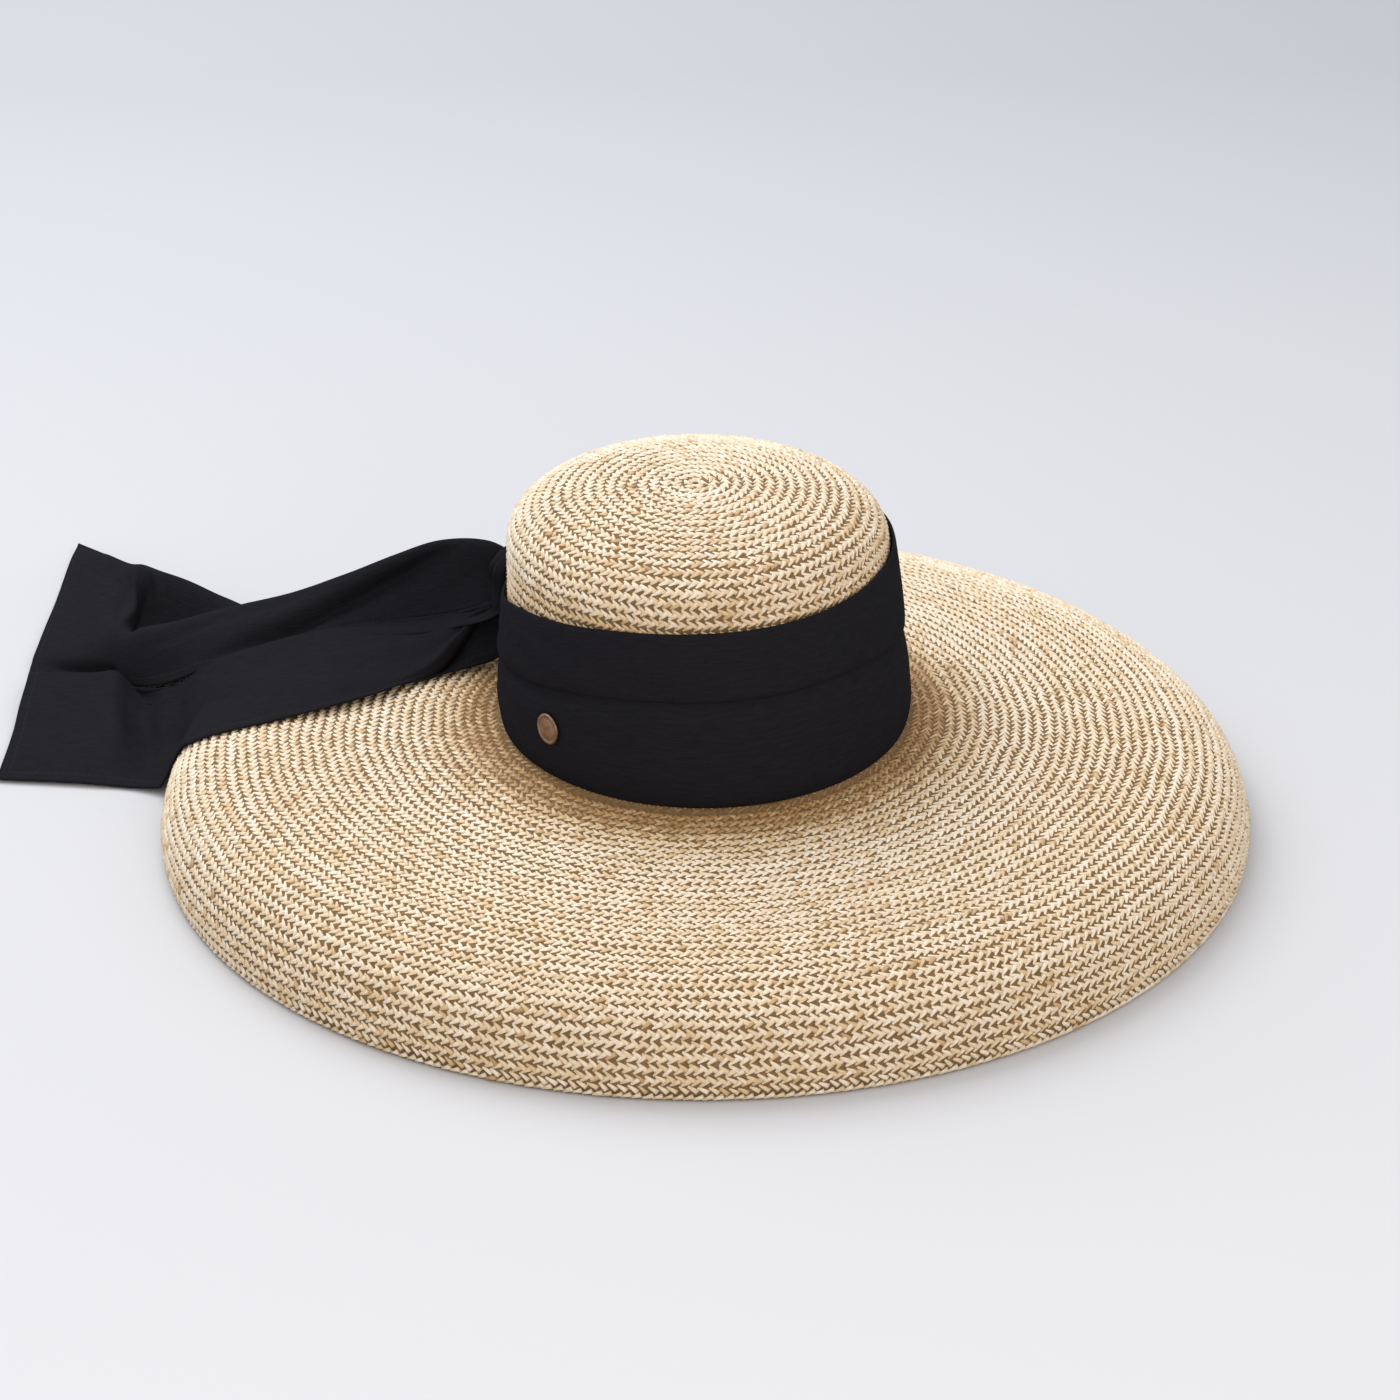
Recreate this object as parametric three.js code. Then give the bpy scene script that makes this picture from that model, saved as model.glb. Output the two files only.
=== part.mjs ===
// A wide-brim straw hat with a dark cloth sash, resting on a level surface.
// Millimetres, +Z up. The front faces -Y and the two tails of the sash trail towards -X.
// The origin is on the upright axis of the hat, in the plane of the surface.
import * as THREE from 'three';
import { mergeVertices } from 'three/addons/utils/BufferGeometryUtils.js';

// Straw
const STRAW_WALL = 2.6;
const BRIM_RADIUS = 250;
const CROWN_HALF_WIDTH = 89.5;
const CROWN_OVAL = 1.09;
const CROWN_TAPER = 3.6;
const CROWN_LEAN = -0.034;
const CROWN_TOP = 164.6;
const SHOULDER_HEIGHT = 133;
const DOME_POWER = 2.81;
const FOOT_FILLET = 5;
const JOIN_HEIGHT = 60;

// Slope of the brim below level, by share of the way from the fillet to the rim
const BRIM_SLOPES = [
  { share: 0.0, slope: 3 },
  { share: 0.25, slope: 4 },
  { share: 0.5, slope: 4.5 },
  { share: 0.72, slope: 21 },
  { share: 0.87, slope: 62 },
  { share: 0.95, slope: 82 },
  { share: 1.0, slope: 108 },
];

// Cloth
const CLOTH = 1.4;
const GAP = 0.35;
const BAND_FOOT_RISE = 1;
const BAND_GAP = 0.5;
const BAND_INNER = [1, 0.9, 0.8, 0.66, 0.5, 0.25, 0];

// Height of the top edge and of the lengthwise fold of the band, by angle from +X
const BAND_EDGES = [
  { angle: -40, top: 136.5, fold: 103 },
  { angle: 0, top: 138, fold: 95 },
  { angle: 45, top: 134, fold: 96 },
  { angle: 100, top: 124, fold: 93 },
  { angle: 147, top: 111, fold: 86 },
  { angle: 180, top: 112.5, fold: 83 },
  { angle: 208, top: 124, fold: 91 },
  { angle: 240, top: 131, fold: 100 },
  { angle: 270, top: 134, fold: 103 },
  { angle: 320, top: 136.5, fold: 103 },
];

// Bulge of the folded cloth off the straw, by share of the height below and above the fold
const LOWER_BULGE = [
  { share: 0.0, out: 3.0 },
  { share: 0.25, out: 4.6 },
  { share: 0.65, out: 4.4 },
  { share: 0.93, out: 3.0 },
];
const UPPER_BULGE = [
  { share: 0.06, out: 2.2 },
  { share: 0.3, out: 3.2 },
  { share: 0.7, out: 2.6 },
  { share: 1.0, out: 1.6 },
];

// Knot, on the band at the back left
const KNOT_ANGLE = 147;
const KNOT_HEIGHT = 87;
const KNOT_OUT = 11;
const KNOT_HALF = { out: 12, along: 17, up: 21 };

// Front tail, a row for each section: its reach towards -X at the near and the far side,
// and the [place in Y, height] of its near side, its crease and its far fold
const FRONT_TAIL = [
  { reach: 100.7, farReach: 101.2, near: [44, 54.5], crease: [53, 76.5], far: [55.5, 79] },
  { reach: 114, farReach: 114, near: [37, 54], crease: [44, 65], far: [62, 73] },
  { reach: 129, farReach: 130, near: [32, 53.5], crease: [37, 55], far: [71, 66] },
  { reach: 152, farReach: 160, near: [16, 51.8], crease: [30, 53], far: [79, 59] },
  { reach: 175, farReach: 188, near: [5, 50], crease: [27, 52], far: [78, 54.5] },
  { reach: 202, farReach: 210, near: [-1, 45.5], crease: [24, 47.5], far: [75, 49.5] },
  { reach: 221, farReach: 228, near: [-2, 39.5], crease: [24, 40.5], far: [78, 42] },
  { reach: 237, farReach: 242, near: [3, 27], crease: [29, 28], far: [88, 31] },
  { reach: 250, farReach: 258, near: [14, 6], crease: [38, 8.5], far: [103, 15] },
  { reach: 268, farReach: 277, near: [21, 1.2], crease: [50, 2.2], far: [119, 5.5] },
  { reach: 292, farReach: 298, near: [25, 1.5], crease: [60, 4], far: [131, 7] },
  { reach: 334, farReach: 336, near: [30, 1.2], crease: [66, 1.8], far: [139, 4.6] },
];
const FOLD_ROUND = 3;
const TUCK_DEPTH = 12;
const TUCK_DROP = 3;

// Where the cloth leaves the brim and where it reaches the surface, and how close it lies
const DROP_START = 237;
const DROP_END = 260;
const LAY_GAP = 1.2;

// Back tail, a row for each section: its reach towards -X, and the [place in Y, height] of its
// near side, its ridge, the valley behind the ridge, the crest behind that and its far side
const BACK_TAIL = [
  { reach: 100.9, near: [56, 74], ridge: [66, 106], valley: [71, 95], crest: [74, 88], far: [76, 83] },
  { reach: 123, near: [69, 63], ridge: [79, 101], valley: [88, 64], crest: [95, 55], far: [99, 52.5] },
  { reach: 147, near: [78, 56], ridge: [90, 88.5], valley: [104, 50.5], crest: [117, 48], far: [122, 47] },
  { reach: 172, near: [80, 51], ridge: [100, 74.5], valley: [120, 46], crest: [138, 43.5], far: [144, 42.5] },
  { reach: 198, near: [78, 46.5], ridge: [108, 61.5], valley: [134, 37], crest: [158, 32], far: [165, 28] },
  { reach: 225, near: [82, 38], ridge: [118, 50.5], valley: [150, 20], crest: [182, 17], far: [192, 9] },
  { reach: 245, near: [95, 25.5], ridge: [124, 42], valley: [165, 6], crest: [198, 17.5], far: [210, 5] },
  { reach: 264, near: [109, 12], ridge: [129.5, 33.5], valley: [178, 2.5], crest: [205, 23], far: [221, 4] },
  { reach: 279, near: [121, 5], ridge: [135, 27.5], valley: [184, 4], crest: [209, 26.5], far: [228, 6] },
  { reach: 290, near: [129, 2.5], ridge: [141, 21.5], valley: [187, 14], crest: [219, 25.5], far: [238, 11] },
  { reach: 299, near: [134, 1.8], ridge: [148, 17.5], valley: [191, 19], crest: [230, 21.5], far: [246, 13] },
  { reach: 316, near: [139, 1.4], ridge: [158, 9], valley: [204, 13], crest: [252, 17], far: [266, 11] },
  { reach: 338, near: [144, 1.2], ridge: [172, 2.6], valley: [224, 1.4], crest: [284, 1.4], far: [304, 1.4] },
];

// Badge, a plain oval plate on the front left of the band
const BADGE_ANGLE = 224;
const BADGE_HEIGHT = 78;
const BADGE_HALF_WIDTH = 6.8;
const BADGE_HALF_HEIGHT = 7.2;
const BADGE_PLATE = 1.2;
const BADGE_BEVEL = 0.5;

// Steps of the faceted surfaces
const ROUND_STEPS = 60;
const WALL_STEPS = 3;
const DOME_STEPS = 9;
const BRIM_STEPS = 12;
const FILLET_STEPS = 3;
const TAIL_STEPS = { along: 22, across: 11 };

const rad = THREE.MathUtils.degToRad;

// A column of a table at a value of its key, on a smooth curve through the rows
function tableAt(rows, key, column, value) {
  const last = rows.length - 1;
  let i = 0;
  while (i < last - 1 && value > rows[i + 1][key]) i += 1;
  const at = (k) => rows[THREE.MathUtils.clamp(k, 0, last)];
  const slopeAt = (k) => {
    const a = at(k - 1);
    const b = at(k + 1);
    return (b[column] - a[column]) / (b[key] - a[key]);
  };
  const span = at(i + 1)[key] - at(i)[key];
  const t = THREE.MathUtils.clamp((value - at(i)[key]) / span, 0, 1);
  const h = t * t * (3 - 2 * t);
  const rise = (t * (1 - t) * (1 - t) * slopeAt(i) - t * t * (1 - t) * slopeAt(i + 1)) * span;
  return at(i)[column] * (1 - h) + at(i + 1)[column] * h + rise;
}

// The band's edge heights at any angle in degrees
function bandEdge(column, degrees) {
  const turn = THREE.MathUtils.euclideanModulo(degrees + 40, 360) - 40;
  return tableAt(BAND_EDGES, 'angle', column, turn);
}

// Welds the corners of a geometry and drops collapsed faces
function weld(geometry) {
  geometry.deleteAttribute('uv');
  geometry.deleteAttribute('normal');
  const merged = mergeVertices(geometry, 1e-3);
  const faces = [];
  const index = merged.getIndex();
  for (let i = 0; i < index.count; i += 3) {
    const [a, b, c] = [index.getX(i), index.getX(i + 1), index.getX(i + 2)];
    if (a !== b && b !== c && c !== a) faces.push(a, b, c);
  }
  merged.setIndex(faces);
  return merged;
}

// Turns a closed geometry to face outwards
function faceOut(geometry) {
  const position = geometry.getAttribute('position');
  const faces = Array.from(geometry.getIndex().array);
  const corner = (k) => new THREE.Vector3().fromBufferAttribute(position, faces[k]);
  let volume = 0;
  for (let i = 0; i < faces.length; i += 3) {
    volume += corner(i).dot(corner(i + 1).cross(corner(i + 2)));
  }
  if (volume < 0) {
    for (let i = 0; i < faces.length; i += 3) {
      [faces[i], faces[i + 1]] = [faces[i + 1], faces[i]];
    }
    geometry.setIndex(faces);
  }
  geometry.computeVertexNormals();
  return geometry;
}

// Moves every corner of a welded geometry to where a function places it
function carry(geometry, place) {
  const position = geometry.getAttribute('position');
  for (let i = 0; i < position.count; i += 1) {
    const p = place(new THREE.Vector3().fromBufferAttribute(position, i));
    position.setXYZ(i, p.x, p.y, p.z);
  }
  return faceOut(geometry);
}

// Half width of the outer straw wall at a height above the fillet
function wallRadius(z) {
  const top = CROWN_HALF_WIDTH - CROWN_TAPER;
  if (z <= SHOULDER_HEIGHT) {
    const share = (z - footHeight) / (SHOULDER_HEIGHT - footHeight);
    return CROWN_HALF_WIDTH - CROWN_TAPER * Math.max(share, 0);
  }
  const up = Math.min((z - SHOULDER_HEIGHT) / (CROWN_TOP - SHOULDER_HEIGHT), 1);
  return top * (1 - up ** DOME_POWER) ** (1 / DOME_POWER);
}

// The straw is oval at the crown, and the oval fades out towards the rim
function ovalAt(out) {
  const share = (out - CROWN_HALF_WIDTH) / (BRIM_RADIUS - CROWN_HALF_WIDTH);
  return THREE.MathUtils.lerp(CROWN_OVAL, 1, THREE.MathUtils.clamp(share, 0, 1));
}

// A point on the straw by its angle, distance from the axis and height; the crown leans
function straw(angle, out, up) {
  const lean = CROWN_LEAN * Math.max(up - footHeight, 0);
  return new THREE.Vector3(out * Math.cos(angle) + lean, out * ovalAt(out) * Math.sin(angle), up);
}

// A closed section of [out, up] points turned about the upright axis and carried to its place
function turned(section, place) {
  const points = section.map(([out, up]) => new THREE.Vector2(out, up));
  const geometry = weld(new THREE.LatheGeometry(points, ROUND_STEPS).rotateX(Math.PI / 2));
  return carry(geometry, (p) => place(Math.atan2(p.y, p.x), Math.hypot(p.x, p.y), p.z));
}

// The line of points a wall thickness inside a section line, on its right hand
function inset(line, distance) {
  return line.map((p, i) => {
    const a = line[Math.max(i - 1, 0)];
    const b = line[Math.min(i + 1, line.length - 1)];
    const length = Math.hypot(b[0] - a[0], b[1] - a[1]);
    return [p[0] + ((b[1] - a[1]) / length) * distance, p[1] - ((b[0] - a[0]) / length) * distance];
  });
}

// Upper line of the brim from the fillet to the rim, worked out from the slopes
function brimLine() {
  const start = CROWN_HALF_WIDTH + FOOT_FILLET;
  const walk = (length, fine) => {
    const line = [[0, 0]];
    for (let i = 0; i < fine; i += 1) {
      const slope = rad(tableAt(BRIM_SLOPES, 'share', 'slope', (i + 0.5) / fine));
      const [out, up] = line[i];
      line.push([out + (Math.cos(slope) * length) / fine, up - (Math.sin(slope) * length) / fine]);
    }
    return line;
  };
  const unit = walk(1, 600);
  const widest = Math.max(...unit.map(([out]) => out));
  const length = (BRIM_RADIUS - start) / widest;
  const drop = -unit[600][1] * length;
  return unit.map(([out, up]) => [start + out * length, drop + up * length]);
}

const fineBrim = brimLine();
const footHeight = fineBrim[0][1] + FOOT_FILLET;

// Top of the brim at a distance from the axis
function brimTop(out) {
  let i = 1;
  while (i < fineBrim.length - 1 && fineBrim[i][0] < out) i += 1;
  const [a, b] = [fineBrim[i - 1], fineBrim[i]];
  return THREE.MathUtils.mapLinear(out, a[0], b[0], a[1], b[1]);
}

function crown() {
  const outer = [];
  for (let i = 0; i <= WALL_STEPS; i += 1) {
    const z = THREE.MathUtils.lerp(JOIN_HEIGHT + GAP, SHOULDER_HEIGHT, i / WALL_STEPS);
    outer.push([wallRadius(z), z]);
  }
  for (let i = 1; i <= DOME_STEPS; i += 1) {
    const turn = (Math.PI / 2) * (i / DOME_STEPS);
    const out = Math.cos(turn) ** (2 / DOME_POWER);
    const up = Math.sin(turn) ** (2 / DOME_POWER);
    const rise = CROWN_TOP - SHOULDER_HEIGHT;
    outer.push([i === DOME_STEPS ? 0 : wallRadius(SHOULDER_HEIGHT) * out, SHOULDER_HEIGHT + rise * up]);
  }
  const inner = inset(outer, -STRAW_WALL);
  inner[0] = [inner[0][0], outer[0][1]];
  inner[inner.length - 1] = [0, CROWN_TOP - STRAW_WALL];
  return turned([...outer, ...inner.reverse(), outer[0]], straw);
}

function brim() {
  const upper = [[wallRadius(JOIN_HEIGHT), JOIN_HEIGHT]];
  for (let i = 0; i <= FILLET_STEPS; i += 1) {
    const turn = (Math.PI / 2) * (i / FILLET_STEPS);
    const out = CROWN_HALF_WIDTH + FOOT_FILLET * (1 - Math.cos(turn));
    upper.push([out, footHeight - FOOT_FILLET * Math.sin(turn)]);
  }
  for (let i = 1; i <= BRIM_STEPS; i += 1) {
    const share = 1 - (1 - i / BRIM_STEPS) ** 1.5;
    upper.push(fineBrim[Math.round(600 * share)]);
  }
  const lower = inset(upper, STRAW_WALL);
  lower[0] = [lower[0][0], JOIN_HEIGHT];
  const rim = fineBrim[600][0];
  lower[lower.length - 1] = [rim - STRAW_WALL, 0];
  upper[upper.length - 1] = [rim, 0];
  return turned([...upper, ...lower.reverse(), upper[0]], straw);
}

// Height of the band's foot, just off the brim
function bandFoot() {
  return fineBrim[0][1] + BAND_FOOT_RISE;
}

// A corner of the band's section at an angle
function bandPoint(degrees, row) {
  const foot = bandFoot();
  const fold = bandEdge('fold', degrees);
  const top = bandEdge('top', degrees);
  const z = row.above
    ? THREE.MathUtils.lerp(fold, top, row.share)
    : THREE.MathUtils.lerp(foot + (row.lift ?? 0), fold, row.share);
  return straw(rad(degrees), wallRadius(z) + row.out, z);
}

// The corners of the band's section, round it from the foot: the outer side, then the inner
function bandRows() {
  const lower = LOWER_BULGE.map((row) => ({ ...row, above: false }));
  const upper = UPPER_BULGE.map((row) => ({ ...row, above: true }));
  const inner = BAND_INNER.map((share) => ({ share, out: BAND_GAP, above: true }));
  inner.push({ share: 0, out: GAP, above: false, lift: FOOT_FILLET });
  return [...lower, ...upper, ...inner];
}

// The band is turned as a plain ring whose heights number the rows, then carried to its place
function band() {
  const rows = bandRows();
  const section = rows.map((row, i) => [100 + 10 * Math.cos((2 * Math.PI * i) / rows.length), i]);
  return turned([...section, section[0]], (angle, out, up) => {
    return bandPoint(THREE.MathUtils.radToDeg(angle), rows[Math.round(up)]);
  });
}

// A point off the outer side of the band, where the knot and the badge sit
function onBand(degrees, height, out) {
  const fold = bandEdge('fold', degrees);
  const foot = bandFoot();
  const top = bandEdge('top', degrees);
  const above = height > fold;
  const share = above ? (height - fold) / (top - fold) : (height - foot) / (fold - foot);
  const bulge = tableAt(above ? UPPER_BULGE : LOWER_BULGE, 'share', 'out', share);
  return straw(rad(degrees), wallRadius(height) + Math.max(bulge, LOWER_BULGE[0].out) + out, height);
}

// Directions on the crown's side at an angle: outwards, along to the left, and up
function sideFrame(degrees) {
  const outward = new THREE.Vector3(Math.cos(rad(degrees)) * CROWN_OVAL, Math.sin(rad(degrees)), 0);
  outward.normalize();
  const up = new THREE.Vector3(0, 0, 1);
  return { outward, along: new THREE.Vector3().crossVectors(up, outward), up };
}

// The knot is a soft pillow with a waist, kept off the band on its inner side
function knot() {
  const { outward, along, up } = sideFrame(KNOT_ANGLE);
  const centre = onBand(KNOT_ANGLE, KNOT_HEIGHT, KNOT_OUT);
  const geometry = weld(new THREE.SphereGeometry(1, 20, 12));
  return carry(geometry, (p) => {
    const soft = (s) => Math.sign(s) * Math.abs(s) ** 0.8;
    const waist = 1 - 0.16 * Math.cos(Math.PI * Math.min(Math.abs(p.y) * 1.4, 1));
    const place = centre.clone();
    place.addScaledVector(outward, KNOT_HALF.out * soft(p.z));
    place.addScaledVector(along, KNOT_HALF.along * waist * soft(p.x));
    place.addScaledVector(up, KNOT_HALF.up * soft(p.y));
    const degrees = THREE.MathUtils.radToDeg(Math.atan2(place.y / CROWN_OVAL, place.x));
    const seat = onBand(degrees, place.z, 2 * GAP);
    const push = Math.max(Math.hypot(seat.x, seat.y) / Math.hypot(place.x, place.y), 1);
    return new THREE.Vector3(place.x * push, place.y * push, place.z);
  });
}

// The lowest that cloth lies: on the brim, then down past the rim to the surface
function lowest(p) {
  const out = Math.hypot(p.x, p.y / ovalAt(Math.hypot(p.x, p.y)));
  if (out < DROP_START) return brimTop(out);
  return brimTop(DROP_START) * (1 - THREE.MathUtils.smoothstep(out, DROP_START, DROP_END));
}

// A cloth of even thickness on a surface of two shares, along and across
function cloth(surface) {
  const box = new THREE.BoxGeometry(1, 1, 1, TAIL_STEPS.along, TAIL_STEPS.across, 1);
  return carry(weld(box), (p) => {
    const [u, v] = [p.x + 0.5, p.y + 0.5];
    const e = 0.004;
    const du = surface(Math.min(u + e, 1), v).sub(surface(Math.max(u - e, 0), v));
    const dv = surface(u, Math.min(v + e, 1)).sub(surface(u, Math.max(v - e, 0)));
    return surface(u, v).addScaledVector(du.cross(dv).normalize(), p.z * CLOTH);
  });
}

// A surface through lines that run the length of a tail, each with a point for every section
function throughLines(lines) {
  const rails = lines.map((points) => new THREE.CatmullRomCurve3(points));
  return (u, v) => {
    const section = new THREE.CatmullRomCurve3(rails.map((rail) => rail.getPoint(u)));
    const p = section.getPoint(v);
    return p.setZ(Math.max(p.z, lowest(p) + LAY_GAP + CLOTH / 2));
  };
}

function frontTail() {
  const at = (reach, [place, up], inside, rise) => new THREE.Vector3(-reach, place - inside, up + rise);
  const near = FRONT_TAIL.map((row) => at(row.reach, row.near, 0, CLOTH / 2));
  const crease = FRONT_TAIL.map((row) => at(row.reach, row.crease, 0, CLOTH / 2));
  const fold = FRONT_TAIL.map((row) => at(row.farReach, row.far, FOLD_ROUND, CLOTH));
  const middle = crease.map((p, i) => p.clone().lerp(fold[i], 0.5));
  const tuck = FRONT_TAIL.map((row) => at(row.farReach, row.far, TUCK_DEPTH, -TUCK_DROP));
  return cloth(throughLines([near, crease, middle, fold, tuck]));
}

function backTail() {
  const line = (column) => BACK_TAIL.map((row) => {
    const [place, up] = row[column];
    return new THREE.Vector3(-row.reach, place, up + CLOTH / 2);
  });
  return cloth(throughLines(['near', 'ridge', 'valley', 'crest', 'far'].map(line)));
}

function badge() {
  const { outward, along, up } = sideFrame(BADGE_ANGLE);
  const outline = new THREE.Shape();
  const [halfWidth, halfHeight] = [BADGE_HALF_WIDTH - BADGE_BEVEL, BADGE_HALF_HEIGHT - BADGE_BEVEL];
  outline.absellipse(0, 0, halfWidth, halfHeight, 0, 2 * Math.PI);
  const plate = new THREE.ExtrudeGeometry(outline, {
    depth: BADGE_PLATE,
    curveSegments: 10,
    bevelSize: BADGE_BEVEL,
    bevelThickness: BADGE_BEVEL,
    bevelSegments: 2,
  });
  const seat = onBand(BADGE_ANGLE, BADGE_HEIGHT, BADGE_BEVEL + GAP);
  const turn = new THREE.Matrix4().makeBasis(along, up, outward).setPosition(seat);
  return faceOut(weld(plate.applyMatrix4(turn)));
}

const strawMaterial = new THREE.MeshStandardMaterial({ color: 0xd9c6a6, roughness: 0.85, metalness: 0 });
const sashMaterial = new THREE.MeshStandardMaterial({ color: 0x211f22, roughness: 0.9, metalness: 0 });
const badgeMaterial = new THREE.MeshStandardMaterial({ color: 0x8a6a4e, roughness: 0.4, metalness: 0.9 });

const hat = new THREE.Group();
hat.name = 'wide_brim_hat';

function add(name, geometry, material) {
  const mesh = new THREE.Mesh(geometry, material);
  mesh.name = name;
  hat.add(mesh);
}

add('crown', crown(), strawMaterial);
add('brim', brim(), strawMaterial);
add('sash_band', band(), sashMaterial);
add('sash_knot', knot(), sashMaterial);
add('sash_tail_front', frontTail(), sashMaterial);
add('sash_tail_back', backTail(), sashMaterial);
add('badge', badge(), badgeMaterial);

export default hat;
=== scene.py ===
import math

import bpy
import numpy as np
from bpy.props import FloatProperty, FloatVectorProperty, IntProperty, PointerProperty
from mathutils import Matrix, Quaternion, Vector


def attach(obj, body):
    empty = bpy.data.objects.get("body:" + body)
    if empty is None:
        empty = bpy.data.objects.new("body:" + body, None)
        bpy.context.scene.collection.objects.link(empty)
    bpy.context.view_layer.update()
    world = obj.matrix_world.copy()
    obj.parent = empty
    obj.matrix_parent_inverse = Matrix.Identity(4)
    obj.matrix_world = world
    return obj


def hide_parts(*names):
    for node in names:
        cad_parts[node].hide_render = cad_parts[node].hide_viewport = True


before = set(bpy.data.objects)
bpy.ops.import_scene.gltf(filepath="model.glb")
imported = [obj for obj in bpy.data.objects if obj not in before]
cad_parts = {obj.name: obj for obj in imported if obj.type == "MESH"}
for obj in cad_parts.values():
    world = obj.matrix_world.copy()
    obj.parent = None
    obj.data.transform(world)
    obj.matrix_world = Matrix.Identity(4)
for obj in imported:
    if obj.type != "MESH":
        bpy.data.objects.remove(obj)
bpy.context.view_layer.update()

bl_info = {
    "name": "Wide-brim straw hat",
    "version": (1, 0, 0),
    "blender": (4, 5, 0),
    "location": "3D View > Sidebar > Hat",
    "description": "Weaves the straw, folds the cloth sash, sets the badge and lights the stage",
    "category": "Object",
}

# Sizes in this file are in millimetres, as on the maker's drawing, unless a comment says otherwise
MM = 0.001

# Straw, as in the solids
BRIM_RADIUS = 250.0
CROWN_HALF_WIDTH = 89.5
CROWN_OVAL = 1.09
CROWN_TAPER = 3.6
CROWN_LEAN = -0.034
CROWN_TOP = 164.6
SHOULDER_HEIGHT = 133.0
DOME_POWER = 2.81
FOOT_FILLET = 5.0
JOIN_HEIGHT = 60.0
JOIN_GAP = 0.4

# Share of the way from the fillet to the rim, and the brim's slope below level in degrees
BRIM_SLOPES = np.array([
    (0.0, 3.0),
    (0.25, 4.0),
    (0.5, 4.5),
    (0.72, 21.0),
    (0.87, 62.0),
    (0.95, 82.0),
    (1.0, 108.0),
])

# Points on the straw's lines, and the small steps that give directions on the straw
BRIM_STEPS = 600
DOME_POINTS = 241
WALL_POINTS = 40
FILLET_POINTS = 25
TURN_STEP = 1e-3
DOWN_STEP = 0.4
POLE_CLEAR = 0.01

# A strip of split straw: shares of its half length, half width and ridge height for the four
# corners of its flat back and the two ends of its ridge, and its faces: ends, tops and back
STRIP_POINTS = np.array([
    (-1.0, -0.9, 0.0),
    (-1.0, 0.9, 0.0),
    (1.0, -0.9, 0.0),
    (1.0, 0.9, 0.0),
    (-0.62, 0.0, 1.0),
    (0.62, 0.0, 1.0),
])
STRIP_FACES = (
    np.array([(0, 4, 1), (2, 3, 5)]),
    np.array([(0, 2, 5, 4), (1, 4, 5, 3)]),
    np.array([(0, 1, 3, 2)]),
)

# Strips in a braid: depth of their backs below the outer line, ridge height, tilt, inset towards
# the middle of the braid, share of the pitch that they fill, widest half, and fewest to a side
STRIP_DEPTH = 1.85
STRIP_RIDGE = 1.5
STRIP_TILT = 0.52
STRIP_INSET = 0.21
STRIP_FILL = 0.64
WIDEST_HALF = 2.4
FEWEST_STRIPS = 5

# How strips vary: along as a share of their pitch, down the line, in slant (radians), and as
# shares of their length, width and ridge; then the shift of their grain, the wander of a braid
# and its waves (number, shortest and longest)
VARY_ALONG = 0.05
VARY_DOWN = 0.12
VARY_SLANT = 0.08
VARY_SIZE = (0.05, 0.07, 0.06)
GRAIN_SHIFT = 40.0
BRAID_WANDER = 0.45
WANDER_WAVES = (14, 18, 60)

# Layer in the middle of the strips, its dark brown a painted shade where it shows between them
GROUND_DEPTH = 1.25
GROUND_THICK = 0.25
GROUND_AROUND = 128

# Where the weave starts and ends, the last row round the rim, and the floor below it
POLE_START = 0.6
RIM_MARGIN = 2.2
LINE_MARGIN = 0.4
RIM_ROW_INSET = 1.5
RIM_ROW_SLANT = 0.6
FLOOR_GAP = 0.05

# Tones of the straw from 0, dark, to 1, pale: the usual one, how braids and strips vary, the few
# odd strips, and how much darker straw is inside; then painted shade outside: on the brim by the
# band, a little at the rim, and on the crown above the band
USUAL_TONE = 0.64
VARY_BRAID_TONE = 0.04
VARY_STRIP_TONE = 0.09
ODD_SHARE = 0.08
ODD_TONE = -0.28
INNER_SHADE = 0.12
BRIM_PAINTED_SHADE = 0.64
BRIM_SHADE_START = 16.0
BRIM_SHADE_FADE = 16.0
RIM_PAINTED_SHADE = 0.03
RIM_SHADE_WIDTH = 40.0
CROWN_PAINTED_SHADE = 0.22
CROWN_SHADE_FADE = 9.0

# Angle in degrees from +X, and the heights of the band's top edge and of its lengthwise fold
BAND_EDGES = np.array([
    (-40.0, 136.5, 103.0),
    (0.0, 138.0, 95.0),
    (45.0, 134.0, 96.0),
    (100.0, 124.0, 93.0),
    (147.0, 111.0, 86.0),
    (180.0, 112.5, 83.0),
    (208.0, 124.0, 91.0),
    (240.0, 131.0, 100.0),
    (270.0, 134.0, 103.0),
])
TOP_EDGE, FOLD_EDGE = 1, 2
BAND_FOOT_RISE = 1.0

# The folded band from its hidden inner edge, round the foot, up to the tuck, and over the top:
# part (0 foot to fold, 1 fold to top), share of that part's height, distance off the straw
BAND_FOLDS = np.array([
    (0, 0.40, 0.85),
    (0, 0.16, 0.95),
    (0, 0.04, 1.40),
    (0, 0.01, 2.30),
    (0, 0.05, 3.30),
    (0, 0.25, 4.30),
    (0, 0.60, 4.20),
    (0, 0.78, 3.60),
    (0, 0.89, 2.50),
    (0, 0.965, 1.45),
    (1, 0.12, 0.95),
    (1, 0.28, 0.90),
    (1, 0.34, 1.45),
    (1, 0.26, 1.95),
    (1, 0.12, 2.10),
    (1, 0.045, 2.55),
    (1, 0.045, 3.20),
    (1, 0.10, 3.75),
    (1, 0.22, 3.90),
    (1, 0.45, 3.55),
    (1, 0.72, 2.85),
    (1, 0.94, 2.05),
    (1, 0.995, 1.45),
    (1, 0.95, 0.85),
    (1, 0.62, 0.75),
])

# Points round the crown and across the section, how much the section's distances are stretched
# while its curve is drawn, where cloth starts to show, and its least distance off the straw
BAND_AROUND = 320
BAND_ACROSS = 93
SECTION_STRETCH = 3.0
SHOWN_OFF = (2.2, 3.2)
LEAST_OFF = 0.7

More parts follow.
